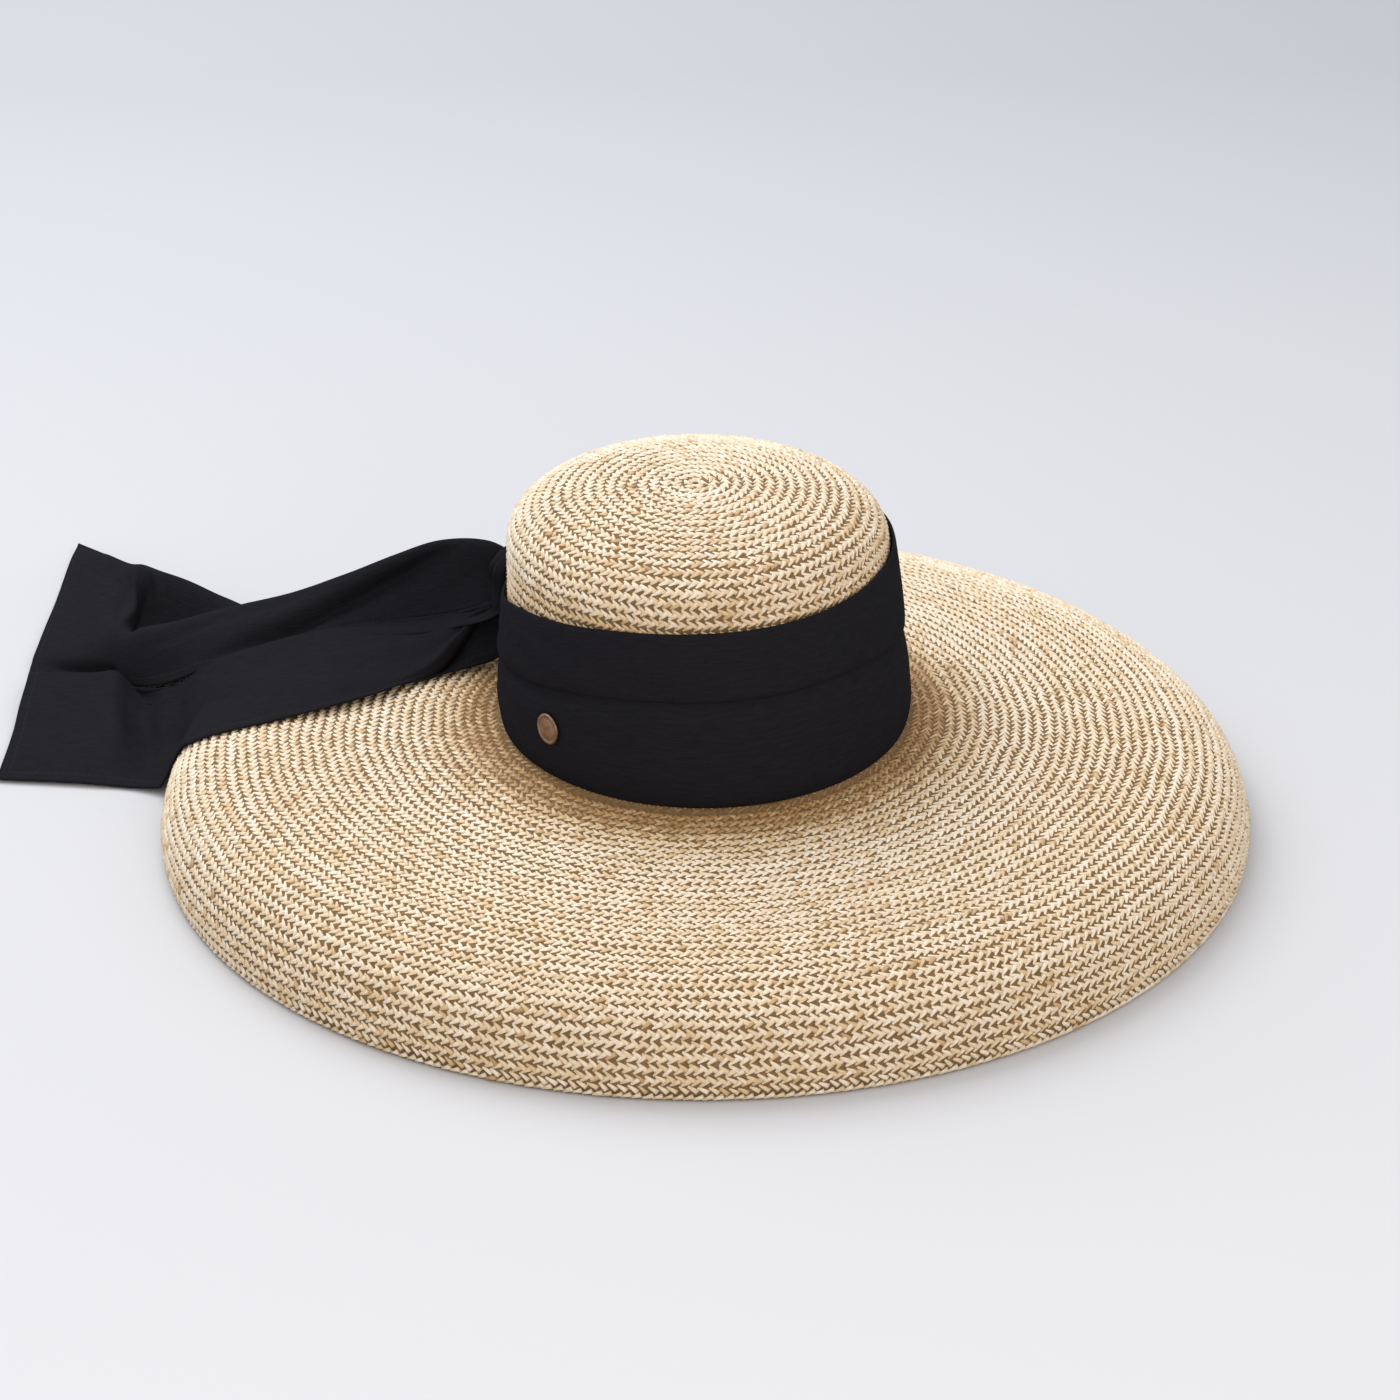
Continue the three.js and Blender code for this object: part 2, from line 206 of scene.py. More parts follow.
# Unevenness of the band: wrinkles and top edge (seed, number of waves, shortest and longest), how
# far wrinkles are drawn out lengthwise, gathers by the knot (spread in degrees), the calm cloth
# under the badge (its way round in millimetres to a degree), and the fade where the ring closes
BAND_RADIUS = 94.0
BAND_WRINKLES = (11, 14, 9, 30)
BAND_DRAWN_OUT = 0.22
TOP_WANDER = 0.5
TOP_WAVES = (23, 5, 60, 200)
TOP_SHARES = (0.55, 1.0)
BAND_GATHERS = 5.2
GATHER_PHASE = 0.5
GATHER_SPREAD = 26.0
CALM_ARC = 1.7
CALM_SPREAD = 13.0
CLOSING_POWER = 0.25

# Bulge of the band in the solids, which the knot and the badge are seated on
LOWER_BULGE = np.array([(0.0, 3.0), (0.25, 4.6), (0.65, 4.4), (0.93, 3.0)])
UPPER_BULGE = np.array([(0.06, 2.2), (0.3, 3.2), (0.7, 2.6), (1.0, 1.6)])

# Knot, with the power and waist of its form, its deep and fine grooves (number, depth as a share
# of its half size), its gap to the band and the weave's step from point to point
KNOT_ANGLE = 147.0
KNOT_HEIGHT = 87.0
KNOT_OUT = 11.0
KNOT_HALF = (17.0, 21.0, 12.0)
KNOT_AROUND = 96
KNOT_ROWS = 47
KNOT_POWER = 0.8
KNOT_WAIST = 0.16
WAIST_REACH = 1.4
KNOT_TWIST = 0.5
DEEP_GROOVES = (9, 0.075)
FINE_GROOVES = (17, 0.04)
KNOT_GAP = 0.7
KNOT_WEAVE_STEP = 1.0

# Badge, with its profile from near the middle of its face, over the border to its back: share of
# its half size, and height
BADGE_ANGLE = 224.0
BADGE_HEIGHT = 78.0
BADGE_HALF = (6.8, 7.2)
BADGE_AROUND = 64
BADGE_GAP = 0.35
BADGE_TOP = 1.71
BADGE_PROFILE = np.array([
    (0.18, 1.70),
    (0.36, 1.66),
    (0.54, 1.58),
    (0.66, 1.46),
    (0.72, 1.22),
    (0.77, 1.22),
    (0.82, 1.52),
    (0.89, 1.66),
    (0.95, 1.56),
    (0.99, 1.20),
    (1.0, 0.80),
    (0.99, 0.40),
    (0.93, 0.0),
    (0.5, 0.0),
])

# Front tail: reach towards -X at the near and far side, then place in Y and height
# of the near side, of the crease and of the far fold
FRONT_TAIL = np.array([
    (100.7, 101.2, 44.0, 54.5, 53.0, 76.5, 55.5, 79.0),
    (114.0, 114.0, 37.0, 54.0, 44.0, 65.0, 62.0, 73.0),
    (129.0, 130.0, 32.0, 53.5, 37.0, 55.0, 71.0, 66.0),
    (152.0, 160.0, 16.0, 51.8, 30.0, 53.0, 79.0, 59.0),
    (175.0, 188.0, 5.0, 50.0, 27.0, 52.0, 78.0, 54.5),
    (202.0, 210.0, -1.0, 45.5, 24.0, 47.5, 75.0, 49.5),
    (221.0, 228.0, -2.0, 39.5, 24.0, 40.5, 78.0, 42.0),
    (237.0, 242.0, 3.0, 27.0, 29.0, 28.0, 88.0, 31.0),
    (250.0, 258.0, 14.0, 6.0, 38.0, 8.5, 103.0, 15.0),
    (268.0, 277.0, 21.0, 1.2, 50.0, 2.2, 119.0, 5.5),
    (292.0, 298.0, 25.0, 1.5, 60.0, 4.0, 131.0, 7.0),
    (334.0, 336.0, 30.0, 1.2, 66.0, 1.8, 139.0, 4.6),
])
FOLD_ROUND = 3.0
FOLD_RAISE = 1.4
TUCK_DEPTH = 12.0
TUCK_DROP = 3.0

# Back tail: reach towards -X, then place in Y and height of the near side, of the ridge,
# of the valley behind it, of the crest behind that and of the far side
BACK_TAIL = np.array([
    (100.9, 56.0, 74.0, 66.0, 106.0, 71.0, 95.0, 74.0, 88.0, 76.0, 83.0),
    (123.0, 69.0, 63.0, 79.0, 101.0, 88.0, 64.0, 95.0, 55.0, 99.0, 52.5),
    (147.0, 78.0, 56.0, 90.0, 88.5, 104.0, 50.5, 117.0, 48.0, 122.0, 47.0),
    (172.0, 80.0, 51.0, 100.0, 74.5, 120.0, 46.0, 138.0, 43.5, 144.0, 42.5),
    (198.0, 78.0, 46.5, 108.0, 61.5, 134.0, 37.0, 158.0, 32.0, 165.0, 28.0),
    (225.0, 82.0, 38.0, 118.0, 50.5, 150.0, 20.0, 182.0, 17.0, 192.0, 9.0),
    (245.0, 95.0, 25.5, 124.0, 42.0, 165.0, 6.0, 198.0, 17.5, 210.0, 5.0),
    (264.0, 109.0, 12.0, 129.5, 33.5, 178.0, 2.5, 205.0, 23.0, 221.0, 4.0),
    (279.0, 121.0, 5.0, 135.0, 27.5, 184.0, 4.0, 209.0, 26.5, 228.0, 6.0),
    (290.0, 129.0, 2.5, 141.0, 21.5, 187.0, 14.0, 219.0, 25.5, 238.0, 11.0),
    (299.0, 134.0, 1.8, 148.0, 17.5, 191.0, 19.0, 230.0, 21.5, 246.0, 13.0),
    (316.0, 139.0, 1.4, 158.0, 9.0, 204.0, 13.0, 252.0, 17.0, 266.0, 11.0),
    (338.0, 144.0, 1.2, 172.0, 2.6, 224.0, 1.4, 284.0, 1.4, 304.0, 1.4),
])

# Where the lines of the two tails start inside the knot, and how far cloth is set above the tables
FRONT_ROOT = np.array([
    (-90.0, 49.0, 60.0),
    (-90.0, 56.0, 80.0),
    (-90.0, 57.0, 81.5),
    (-90.0, 58.0, 82.0),
    (-90.0, 54.0, 78.0),
])
BACK_ROOT = np.array([
    (-89.0, 54.0, 74.0),
    (-89.0, 61.0, 103.0),
    (-89.0, 65.0, 96.0),
    (-89.0, 68.0, 89.0),
    (-89.0, 69.0, 86.0),
])
CLOTH_RAISE = 0.7

# Creases of the tails, on the length and width of a tail laid flat: start along and across, end
# along and across, depth, near and far width; and the shares of a crease where it eases in and out
TAIL_LENGTH = 300.0
TAIL_WIDTH = 95.0
FRONT_CREASES = (
    (0.02, 0.44, 0.31, -0.04, 7.5, 14.0, 2.4),
    (0.04, 0.50, 0.34, 0.06, -2.0, 2.6, 9.0),
    (0.16, 0.62, 0.60, 0.50, 1.1, 3.8, 9.5),
    (0.50, 0.28, 0.80, 0.34, 0.8, 3.8, 8.6),
    (0.90, 0.95, 0.88, 0.02, -4.0, 7.0, 7.0),
    (0.83, 0.92, 0.82, 0.02, 3.6, 8.0, 7.0),
)
BACK_CREASES = (
    (0.10, 0.20, 0.56, 0.02, 8.0, 4.0, 2.4),
    (0.30, 0.20, 0.72, 0.16, 1.4, 2.4, 4.3),
    (0.72, 0.58, 0.99, 0.66, 0.8, 2.9, 5.7),
    (0.785, 0.78, 0.785, 0.22, -4.2, 5.0, 7.0),
    (0.735, 0.80, 0.735, 0.22, 5.0, 8.0, 6.0),
    (0.76, 0.04, 1.02, 0.09, 5.0, 8.0, 4.0),
)
CREASE_IN = (0.0, 0.3)
CREASE_OUT = (0.6, 1.0)

# Unevenness of the tails: points along and across, seed and number of gathers for each, waves of
# the wrinkles (number, shortest and longest), how far wrinkles are drawn out, the shares where
# gathers fade and borders lie smooth, the sway of a gather and its pace (radians), and both
# heights as shares of those in the settings
FRONT_PLAN = (170, 81, 41, 3.5)
BACK_PLAN = (180, 91, 57, 4.5)
TAIL_WAVES = (12, 14, 60)
TAIL_DRAWN_OUT = 0.5
GATHER_FADE = (0.05, 0.55)
SMOOTH_BORDER = 0.06
GATHER_SWAY = 1.1
SWAY_PACE = 3.1
TAIL_WRINKLE = 1.3
TAIL_GATHER = 0.8

# Where cloth leaves the brim and where it reaches the surface, and how far above them it lies
DROP_START = 237.0
DROP_END = 260.0
CLOTH_GAP = 0.45

# Sewn line by the hems: distance from the edge, half width, pitch and share of a stitch (the pitch
# in metres), and the distance that stands for no hem
HEM_LINE = 4.6
HEM_HALF_WIDTH = 0.45
SEWN_PITCH = 0.0032
SEWN_SHARE = 0.68
NO_HEM = 500.0

# Length of one band of the wave texture at scale 1
WAVE_BAND = 0.31416

# Stage, in metres: floor, the fade of its painted shade to the back and the reach of its pale far
# part, painted light where the lamps reach little, lights (place, aim and colour), and camera
FLOOR_HALF = 16.0
FLOOR_POINTS = 9
FLOOR_SHADE_FADE = (-0.5, 1.2)
FLOOR_FAR = (2.0, 7.0)
FAR_PAINTED_LIGHT = (0.9, 0.92, 0.96, 1.0)
SKY_COLOUR = (0.94, 0.96, 1.0, 1.0)
OVERHEAD = ((-0.8, 1.2, 1.8), (0.0, 0.0, 0.0), (1.0, 1.0, 1.0))
FRONT_LIGHT = ((0.7, -2.4, 1.5), (0.0, 0.0, 0.05), (1.0, 0.79, 0.55))
LIGHT_SIDE = 1.8
CAMERA_AIM = (-0.0022, 0.0, 0.05646)
CAMERA_REACH = 50.0
SENSOR_WIDTH_MM = 36.0


# Curves and tables

def running(steps):
    """Running sum that starts at 0."""
    return np.concatenate([[0], np.cumsum(steps)])


def turns(count):
    """Angles of evenly spaced points round a circle."""
    return np.arange(count) * 2 * np.pi / count


def through_rows(table, at, column=1):
    """Smooth curve of a table's column over its first column.

    Between two rows it is a cubic whose slope at a row is that of the chord from the row before
    to the row after.
    """
    keys, values = table[:, 0], table[:, column]
    n = np.arange(len(keys))
    before, after = np.maximum(n - 1, 0), np.minimum(n + 1, len(keys) - 1)
    slope = (values[after] - values[before]) / (keys[after] - keys[before])
    at = np.clip(at, keys[0], keys[-1])
    i = np.clip(np.searchsorted(keys, at, side="right") - 1, 0, len(keys) - 2)
    span = keys[i + 1] - keys[i]
    t = (at - keys[i]) / span
    ease = t * t * (3 - 2 * t)
    rise = (t * (1 - t) ** 2 * slope[i] - t * t * (1 - t) * slope[i + 1]) * span
    return values[i] * (1 - ease) + values[i + 1] * ease + rise


def smoothstep(low, high, at):
    """0 below low, 1 above high, and the cubic 3t^2 - 2t^3 between them."""
    t = np.clip((at - low) / (high - low), 0, 1)
    return t * t * (3 - 2 * t)


def root_length(chords):
    """Square roots of the lengths of chords, kept above zero."""
    return np.maximum(np.sqrt(np.linalg.norm(chords, axis=-1, keepdims=True)), 1e-6)


def along_points(points, shares):
    """Centripetal curve through points, at shares 0 to 1 with an equal part for each span.

    The points lie on the axis before the last; each span is a cubic whose end slopes weigh the
    neighbouring chords by the square roots of their lengths.
    """
    first = 2 * points[..., :1, :] - points[..., 1:2, :]
    last = 2 * points[..., -1:, :] - points[..., -2:-1, :]
    p = np.concatenate([first, points, last], axis=-2)
    spans = points.shape[-2] - 1
    i = np.minimum((shares * spans).astype(int), spans - 1)
    t = (shares * spans - i)[:, None]
    a, b, c, d = (p[..., i + k, :] for k in range(4))
    ab, bc, cd = root_length(b - a), root_length(c - b), root_length(d - c)
    start = ((b - a) / ab - (c - a) / (ab + bc) + (c - b) / bc) * bc
    end = ((c - b) / bc - (d - b) / (bc + cd) + (d - c) / cd) * bc
    ease = t * t * (3 - 2 * t)
    return b * (1 - ease) + c * ease + t * (1 - t) ** 2 * start - t * t * (1 - t) * end


def unevenness(u, v, seed, waves, shortest, longest):
    """Smooth hand-made unevenness between about -1 and 1.

    It is the sum of plane sine waves over the lengths u and v, each with a seeded direction,
    wave length and phase.
    """
    rng = np.random.default_rng(seed)
    turn = rng.uniform(0, 2 * np.pi, waves)
    pace = 2 * np.pi / rng.uniform(shortest, longest, waves)
    phase = rng.uniform(0, 2 * np.pi, waves)
    u, v = np.broadcast_arrays(u, v)
    swing = u[..., None] * np.cos(turn) * pace + v[..., None] * np.sin(turn) * pace + phase
    return np.sin(swing).sum(axis=-1) / math.sqrt(waves)


def unit(vectors):
    """Vectors divided by their lengths."""
    return vectors / np.maximum(np.linalg.norm(vectors, axis=-1, keepdims=True), 1e-9)


# Shape of the straw

def brim_line():
    """Upper line of the brim as rows of distance from the axis and height.

    Each short step goes down by the slope of the table; the whole is scaled so that its widest
    point is at the brim's radius, and set so that its end is at height 0.
    """
    middles = (np.arange(BRIM_STEPS) + 0.5) / BRIM_STEPS
    slope = np.radians(through_rows(BRIM_SLOPES, middles))
    out = running(np.cos(slope))
    down = running(np.sin(slope))
    start = CROWN_HALF_WIDTH + FOOT_FILLET
    size = (BRIM_RADIUS - start) / out.max()
    return np.column_stack([start + out * size, (down[-1] - down) * size])


BRIM_LINE = brim_line()
FOOT_HEIGHT = BRIM_LINE[0, 1] + FOOT_FILLET
BAND_FOOT = BRIM_LINE[0, 1] + BAND_FOOT_RISE


def wall_radius(z):
    """Half width of the crown at a height: a slight taper, then a dome of powers of its height."""
    z = np.asarray(z, float)
    share = np.maximum((z - FOOT_HEIGHT) / (SHOULDER_HEIGHT - FOOT_HEIGHT), 0)
    up = np.clip((z - SHOULDER_HEIGHT) / (CROWN_TOP - SHOULDER_HEIGHT), 0, 1)
    dome = (CROWN_HALF_WIDTH - CROWN_TAPER) * (1 - up ** DOME_POWER) ** (1 / DOME_POWER)
    return np.where(z <= SHOULDER_HEIGHT, CROWN_HALF_WIDTH - CROWN_TAPER * share, dome)


def oval_at(out):
    """Depth over width of the straw: the crown's oval, which fades out evenly to the rim."""
    share = np.clip((out - CROWN_HALF_WIDTH) / (BRIM_RADIUS - CROWN_HALF_WIDTH), 0, 1)
    return CROWN_OVAL + (1 - CROWN_OVAL) * share


def on_straw(angle, out, up):
    """Point at an angle, a distance from the axis and a height; the crown leans a little."""
    lean = CROWN_LEAN * np.maximum(up - FOOT_HEIGHT, 0)
    x = out * np.cos(angle) + lean
    y = out * oval_at(out) * np.sin(angle)
    return np.stack(np.broadcast_arrays(x, y, up), axis=-1)


def meridian(part):
    """Outer line of the crown (from the pole to the join) or of the brim (from the join to the
    rim), as rows of distance along it, distance from the axis and height."""
    if part == "crown":
        turn = np.linspace(np.pi / 2, 0, DOME_POINTS)
        dome_out = wall_radius(SHOULDER_HEIGHT) * np.cos(turn) ** (2 / DOME_POWER)
        dome_up = SHOULDER_HEIGHT + (CROWN_TOP - SHOULDER_HEIGHT) * np.sin(turn) ** (2 / DOME_POWER)
        wall_up = np.linspace(SHOULDER_HEIGHT, JOIN_HEIGHT + JOIN_GAP, WALL_POINTS)[1:]
        line = np.column_stack([
            np.concatenate([dome_out, wall_radius(wall_up)]),
            np.concatenate([dome_up, wall_up]),
        ])
        line[0] = (0.0, CROWN_TOP)
    else:
        turn = np.linspace(0, np.pi / 2, FILLET_POINTS)
        fillet = np.column_stack([
            CROWN_HALF_WIDTH + FOOT_FILLET * (1 - np.cos(turn)),
            FOOT_HEIGHT - FOOT_FILLET * np.sin(turn),
        ])
        line = np.concatenate([[(CROWN_HALF_WIDTH, JOIN_HEIGHT)], fillet, BRIM_LINE[1:]])
    return np.column_stack([running(np.hypot(*np.diff(line, axis=0).T)), line])


def out_at(line, down):
    """Distance from the axis at a distance down a line."""
    return np.interp(down, line[:, 0], line[:, 1])


def straw_frame(line, angle, down, depth):
    """Points and directions on the straw by angle and distance down its line.

    Gives the points set in by depth, and unit vectors along the row, down the line and outwards,
    from small differences of the surface.
    """
    def at(turn, s):
        return on_straw(turn, out_at(line, s), np.interp(s, line[:, 0], line[:, 2]))

    lower = np.minimum(down + DOWN_STEP, line[-1, 0])
    upper = np.maximum(down - DOWN_STEP, POLE_CLEAR)
    row = unit(at(angle + TURN_STEP, down) - at(angle - TURN_STEP, down))
    fall = unit(at(angle, lower) - at(angle, upper))
    outward = unit(np.cross(fall, row))
    return at(angle, down) - outward * depth, row, fall, outward


# Meshes

def put_mesh(name, points, faces, materials, face_material=None, uv=None, marks=None, flat=None):
    """New mesh object at the origin from whole arrays in millimetres.

    faces is a list of index arrays, one for each number of corners, uv a list of matching corner
    coordinates, marks a table of named values with the POINT or FACE that each value belongs to,
    and flat marks the faces that aren't shaded smooth.
    """
    if len(points) == 0 or not np.isfinite(points).all():
        raise RuntimeError(f"{name} has no finite points")
    mesh = bpy.data.meshes.new(name)
    corners = np.concatenate([f.ravel() for f in faces]).astype(np.int32)
    sizes = np.concatenate([np.full(len(f), f.shape[1]) for f in faces])
    starts = running(sizes)[:-1].astype(np.int32)
    smooth = np.ones(len(sizes), bool) if flat is None else ~flat
    mesh.vertices.add(len(points))
    mesh.vertices.foreach_set("co", (points * MM).astype(np.float32).ravel())
    mesh.loops.add(len(corners))
    mesh.loops.foreach_set("vertex_index", corners)
    mesh.polygons.add(len(sizes))
    mesh.polygons.foreach_set("loop_start", starts)
    if face_material is not None:
        mesh.polygons.foreach_set("material_index", face_material.astype(np.int32))
    mesh.update(calc_edges=True)
    if uv is not None:
        layer = mesh.uv_layers.new(name="weave")
        layer.data.foreach_set("uv", np.concatenate([c.ravel() for c in uv]).astype(np.float32))
    for key, (kind, values) in (marks or {}).items():
        mark = mesh.attributes.new(key, "FLOAT", kind)
        mark.data.foreach_set("value", np.asarray(values, np.float32))
    mesh.polygons.foreach_set("use_smooth", smooth)
    for material in materials:
        mesh.materials.append(material)
    if mesh.validate():
        raise RuntimeError(f"{name} has broken faces")
    piece = bpy.data.objects.new(name, mesh)
    bpy.context.scene.collection.objects.link(piece)
    return piece


def grid_corners(rows, columns, ring):
    """Corner numbers of a grid's quads as (row, column) pairs; a ring also joins its last row
    to its first."""
    i, j = np.meshgrid(np.arange(rows if ring else rows - 1), np.arange(columns - 1), indexing="ij")
    i, j = i.ravel(), j.ravel()
    return np.stack([i, i + 1, i + 1, i], axis=1), np.stack([j, j, j + 1, j + 1], axis=1)


def border_quads(count, turned):
    """Numbers along a border for the corners of its quads, and the side of the cloth of each."""
    k = np.arange(count)
    edge = np.stack([k, k + 1, k + 1, k] if turned else [k + 1, k, k, k + 1], axis=1)
    return edge, np.tile([0, 0, 1, 1], (count, 1))


def ring_fan(around, columns, column, pole, turned):
    """Triangles that close a ring grid from one of its columns to a pole."""
    here = np.arange(around) * columns + column
    after = np.roll(here, -1)
    pair = (after, here) if turned else (here, after)
    return np.stack([np.full(around, pole), *pair], axis=1)


def thin_solid(grid, thick, ring=False):
    """Closed thin solid on a grid of points.

    Each side stands half the thickness off the grid along the normal, which is the cross product
    of the two grid directions; narrow quads join the open borders. Gives points, quads, and the
    grid place of each quad corner.
    """
    rows, columns = grid.shape[:2]
    if ring:
        first = np.roll(grid, -1, 0) - np.roll(grid, 1, 0)
    else:
        first = np.gradient(grid, axis=0)
    offset = unit(np.cross(first, np.gradient(grid, axis=1))) * (thick / 2)
    points = np.concatenate([(grid + offset).reshape(-1, 3), (grid - offset).reshape(-1, 3)])
    i, j = grid_corners(rows, columns, ring)
    under = np.zeros_like(i)
    parts = [(i, j, under), (i[:, ::-1], j[:, ::-1], under + 1)]
    for column, turned in ((0, False), (columns - 1, True)):
        edge, side = border_quads(rows if ring else rows - 1, turned)
        parts.append((edge, np.full_like(edge, column), side))
    if not ring:
        for row, turned in ((0, True), (rows - 1, False)):
            edge, side = border_quads(columns - 1, turned)
            parts.append((np.full_like(edge, row), edge, side))
    i, j, under = (np.concatenate([p[n] for p in parts]) for n in range(3))
    quads = (i % rows) * columns + j + under * rows * columns
    return points, quads, (i, j)


# Weave of the straw

def braid_sides(line, span, settings):
    """Sides of the braids, two to a braid, evenly spaced down the line.

    Gives the number of braids, the width of a side, the distance of each side down the line, and
    the number of its strips, which is what the middle of its braid holds.
    """
    reach = span[1] - span[0]
    braids = int(round(reach / (settings.row_pitch / MM)))
    width = reach / braids / 2
    places = span[0] + (np.arange(2 * braids) + 0.5) * width
    middle = out_at(line, span[0] + (np.arange(braids) + 0.5) * 2 * width)
    rounds = np.pi * middle * (1 + oval_at(middle))
    counts = np.maximum(np.round(rounds / (settings.strip_pitch / MM)), FEWEST_STRIPS)
    return braids, width, places, np.repeat(counts.astype(int), 2)


def strips(centre, row, fall, outward, half, slant):
    """Points of many strips at once.

    A strip lies along the row turned by its slant towards the fall line; each point is the centre
    plus its share of the half length, half width and height along those directions, and one end
    is tilted out over the next strip.
    """
    turn = slant[:, None]
    long_way = row * np.cos(turn) + fall * np.sin(turn)
    wide_way = np.cross(outward, long_way)
    t, s, h = STRIP_POINTS.T
    return (
        centre[:, None]
        + long_way[:, None] * (half[:, :1] * t)[..., None]
        + wide_way[:, None] * (half[:, 1:2] * s)[..., None]
        + outward[:, None] * (half[:, 2:] * h + STRIP_TILT * t)[..., None]
    )


def painted_straw_shade(part, length, angle, down, height):
    """Painted shade: how much darker the straw is outside. On the brim it is a bell curve of the
    distance down the line, and a little at the rim; on the crown a bell curve of the height above
    the band."""
    if part == "brim":
        away = np.maximum(down - BRIM_SHADE_START, 0) / BRIM_SHADE_FADE
        by_rim = smoothstep(length - RIM_SHADE_WIDTH, length, down)
        return BRIM_PAINTED_SHADE * np.exp(-away ** 2) + RIM_PAINTED_SHADE * by_rim
    clear = np.maximum(height - band_edge(np.degrees(angle), TOP_EDGE), 0)
    return CROWN_PAINTED_SHADE * np.exp(-(clear / CROWN_SHADE_FADE) ** 2)


def ground_layer(line, braids, span):
    """Thin layer in the middle of the strips that closes the gaps between them: a ring of points
    for each braid, set in from the outer line by an even depth."""
    places = np.linspace(*span, braids + 1)
    turn, down = np.meshgrid(turns(GROUND_AROUND), places, indexing="ij")
    grid = straw_frame(line, turn, down, GROUND_DEPTH)[0]
    points, quads, (i, j) = thin_solid(grid, GROUND_THICK, ring=True)
    uv = np.stack([i * 2 * np.pi / GROUND_AROUND * out_at(line, places)[j], places[j]], axis=-1)
    return points, quads, uv


def weave(name, part, settings, materials, seed):
    """Straw part of braids sewn round and round: two rows of slanted strips to a braid.

    Braids are evenly spaced down the part's line, and a braid has as many strips a side as its
    length holds. The strips of its two sides slant towards each other and meet by turns in the
    middle, and every strip varies a little in place, slant, size and tone. The lowest strips are
    pressed flat where the part stands on the floor.
    """
    rng = np.random.default_rng(seed)
    line = meridian(part)
    length = line[-1, 0]
    span = (POLE_START, length) if part == "crown" else (0.0, length - RIM_MARGIN)
    braids, side_width, places, counts = braid_sides(line, span, settings)
    side = np.repeat(np.arange(2 * braids), counts)
    braid, lower = side // 2, side % 2
    total = len(side)
    number = np.arange(total) - running(counts)[side]
    pace = 2 * np.pi / counts[side]
    phase = rng.uniform(0, 1, braids)[braid]
    angle = (number + 0.5 * lower + phase + rng.normal(0, VARY_ALONG, total)) * pace
    sense = np.where(lower == 1, -1, 1)
    out = out_at(line, places[side])
    x, y = out * np.cos(angle), out * np.sin(angle)
    wander = BRAID_WANDER * unevenness(x, y, seed, *WANDER_WAVES)
    down = places[side] + sense * STRIP_INSET + wander + rng.normal(0, VARY_DOWN, total)
    down = np.clip(down, LINE_MARGIN, length - LINE_MARGIN)
    slant = sense * (settings.slant + rng.normal(0, VARY_SLANT, total))
    out = out_at(line, down)
    pitch = pace * out * (1 + oval_at(out)) / 2
    lean = np.sin(settings.slant)
    half = np.column_stack([
        np.full(total, side_width / lean * settings.strip_overlap / 2),
        np.minimum(pitch * lean * STRIP_FILL, WIDEST_HALF),
        np.full(total, STRIP_RIDGE),
    ])
    half *= np.column_stack([rng.normal(1, vary, total) for vary in VARY_SIZE])
    if part == "brim":
        last = side == 2 * braids - 1
        down[last] = length - RIM_ROW_INSET
        slant[last] *= RIM_ROW_SLANT
    centre, row, fall, outward = straw_frame(line, angle, down, STRIP_DEPTH)
    points = strips(centre, row, fall, outward, half, slant)
    points[..., 2] = np.maximum(points[..., 2], FLOOR_GAP)
    odd = np.where(rng.uniform(0, 1, total) < ODD_SHARE, ODD_TONE, 0.0)
    tone = USUAL_TONE + rng.normal(0, VARY_BRAID_TONE, braids)[braid]
    tone = tone + rng.normal(0, VARY_STRIP_TONE, total) + odd
    # Outer faces take the painted shade by the band and at the rim; inner faces are only a little darker
    outer = np.clip(tone - painted_straw_shade(part, length, angle, down, centre[:, 2]), 0, 1)
    inner = np.clip(tone - INNER_SHADE, 0, 1)
    shift = rng.uniform(0, GRAIN_SHIFT, (total, 2))
    grain = (STRIP_POINTS[:, :2] * half[:, None, :2] + shift[:, None]).reshape(-1, 2)

    first = np.arange(total)[:, None, None] * len(STRIP_POINTS)
    faces = [(shape + first).reshape(-1, shape.shape[1]) for shape in STRIP_FACES]
    tones = [np.repeat(of_face, len(shape)) for of_face, shape in zip((outer, outer, inner), STRIP_FACES)]
    ground_points, ground_quads, ground_uv = ground_layer(line, braids, span)
    uv = [*(grain[f] * MM for f in faces), ground_uv * MM]
    faces.append(ground_quads + total * len(STRIP_POINTS))
    tones.append(np.zeros(len(ground_quads)))
    sizes = [len(f) for f in faces]
    return put_mesh(
        name,
        np.concatenate([points.reshape(-1, 3), ground_points]),
        faces,
        materials,
        face_material=np.repeat([0, 0, 0, 1], sizes),
        uv=uv,
        marks={"tone": ("FACE", np.concatenate(tones))},
        flat=np.repeat([False, False, True, False], sizes),
    )


# Shape of the sash

def band_edge(degrees, edge):
    """Height of the band's top edge or fold at an angle, on a closed smooth curve."""
    rows = np.concatenate([BAND_EDGES - (360, 0, 0), BAND_EDGES, BAND_EDGES + (360, 0, 0)])
    start = BAND_EDGES[0, 0]
    return through_rows(rows, (degrees - start) % 360 + start, edge)


def on_band(degrees, height, off):
    """Point off the outer side of the band, where the knot and the badge sit."""
    fold, top = band_edge(degrees, FOLD_EDGE), band_edge(degrees, TOP_EDGE)
    low = through_rows(LOWER_BULGE, (height - BAND_FOOT) / (fold - BAND_FOOT))
    high = through_rows(UPPER_BULGE, (height - fold) / (top - fold))
    bulge = np.maximum(np.where(height > fold, high, low), LOWER_BULGE[0, 1])
    return on_straw(np.radians(degrees), wall_radius(height) + bulge + off, height)


def side_frame(degrees):
    """Directions on the crown's side: along to the left, up, and outwards."""
    turn = math.radians(degrees)
    outward = unit(np.array([math.cos(turn) * CROWN_OVAL, math.sin(turn), 0.0]))
    up = np.array([0.0, 0.0, 1.0])
    return np.cross(up, outward), up, outward


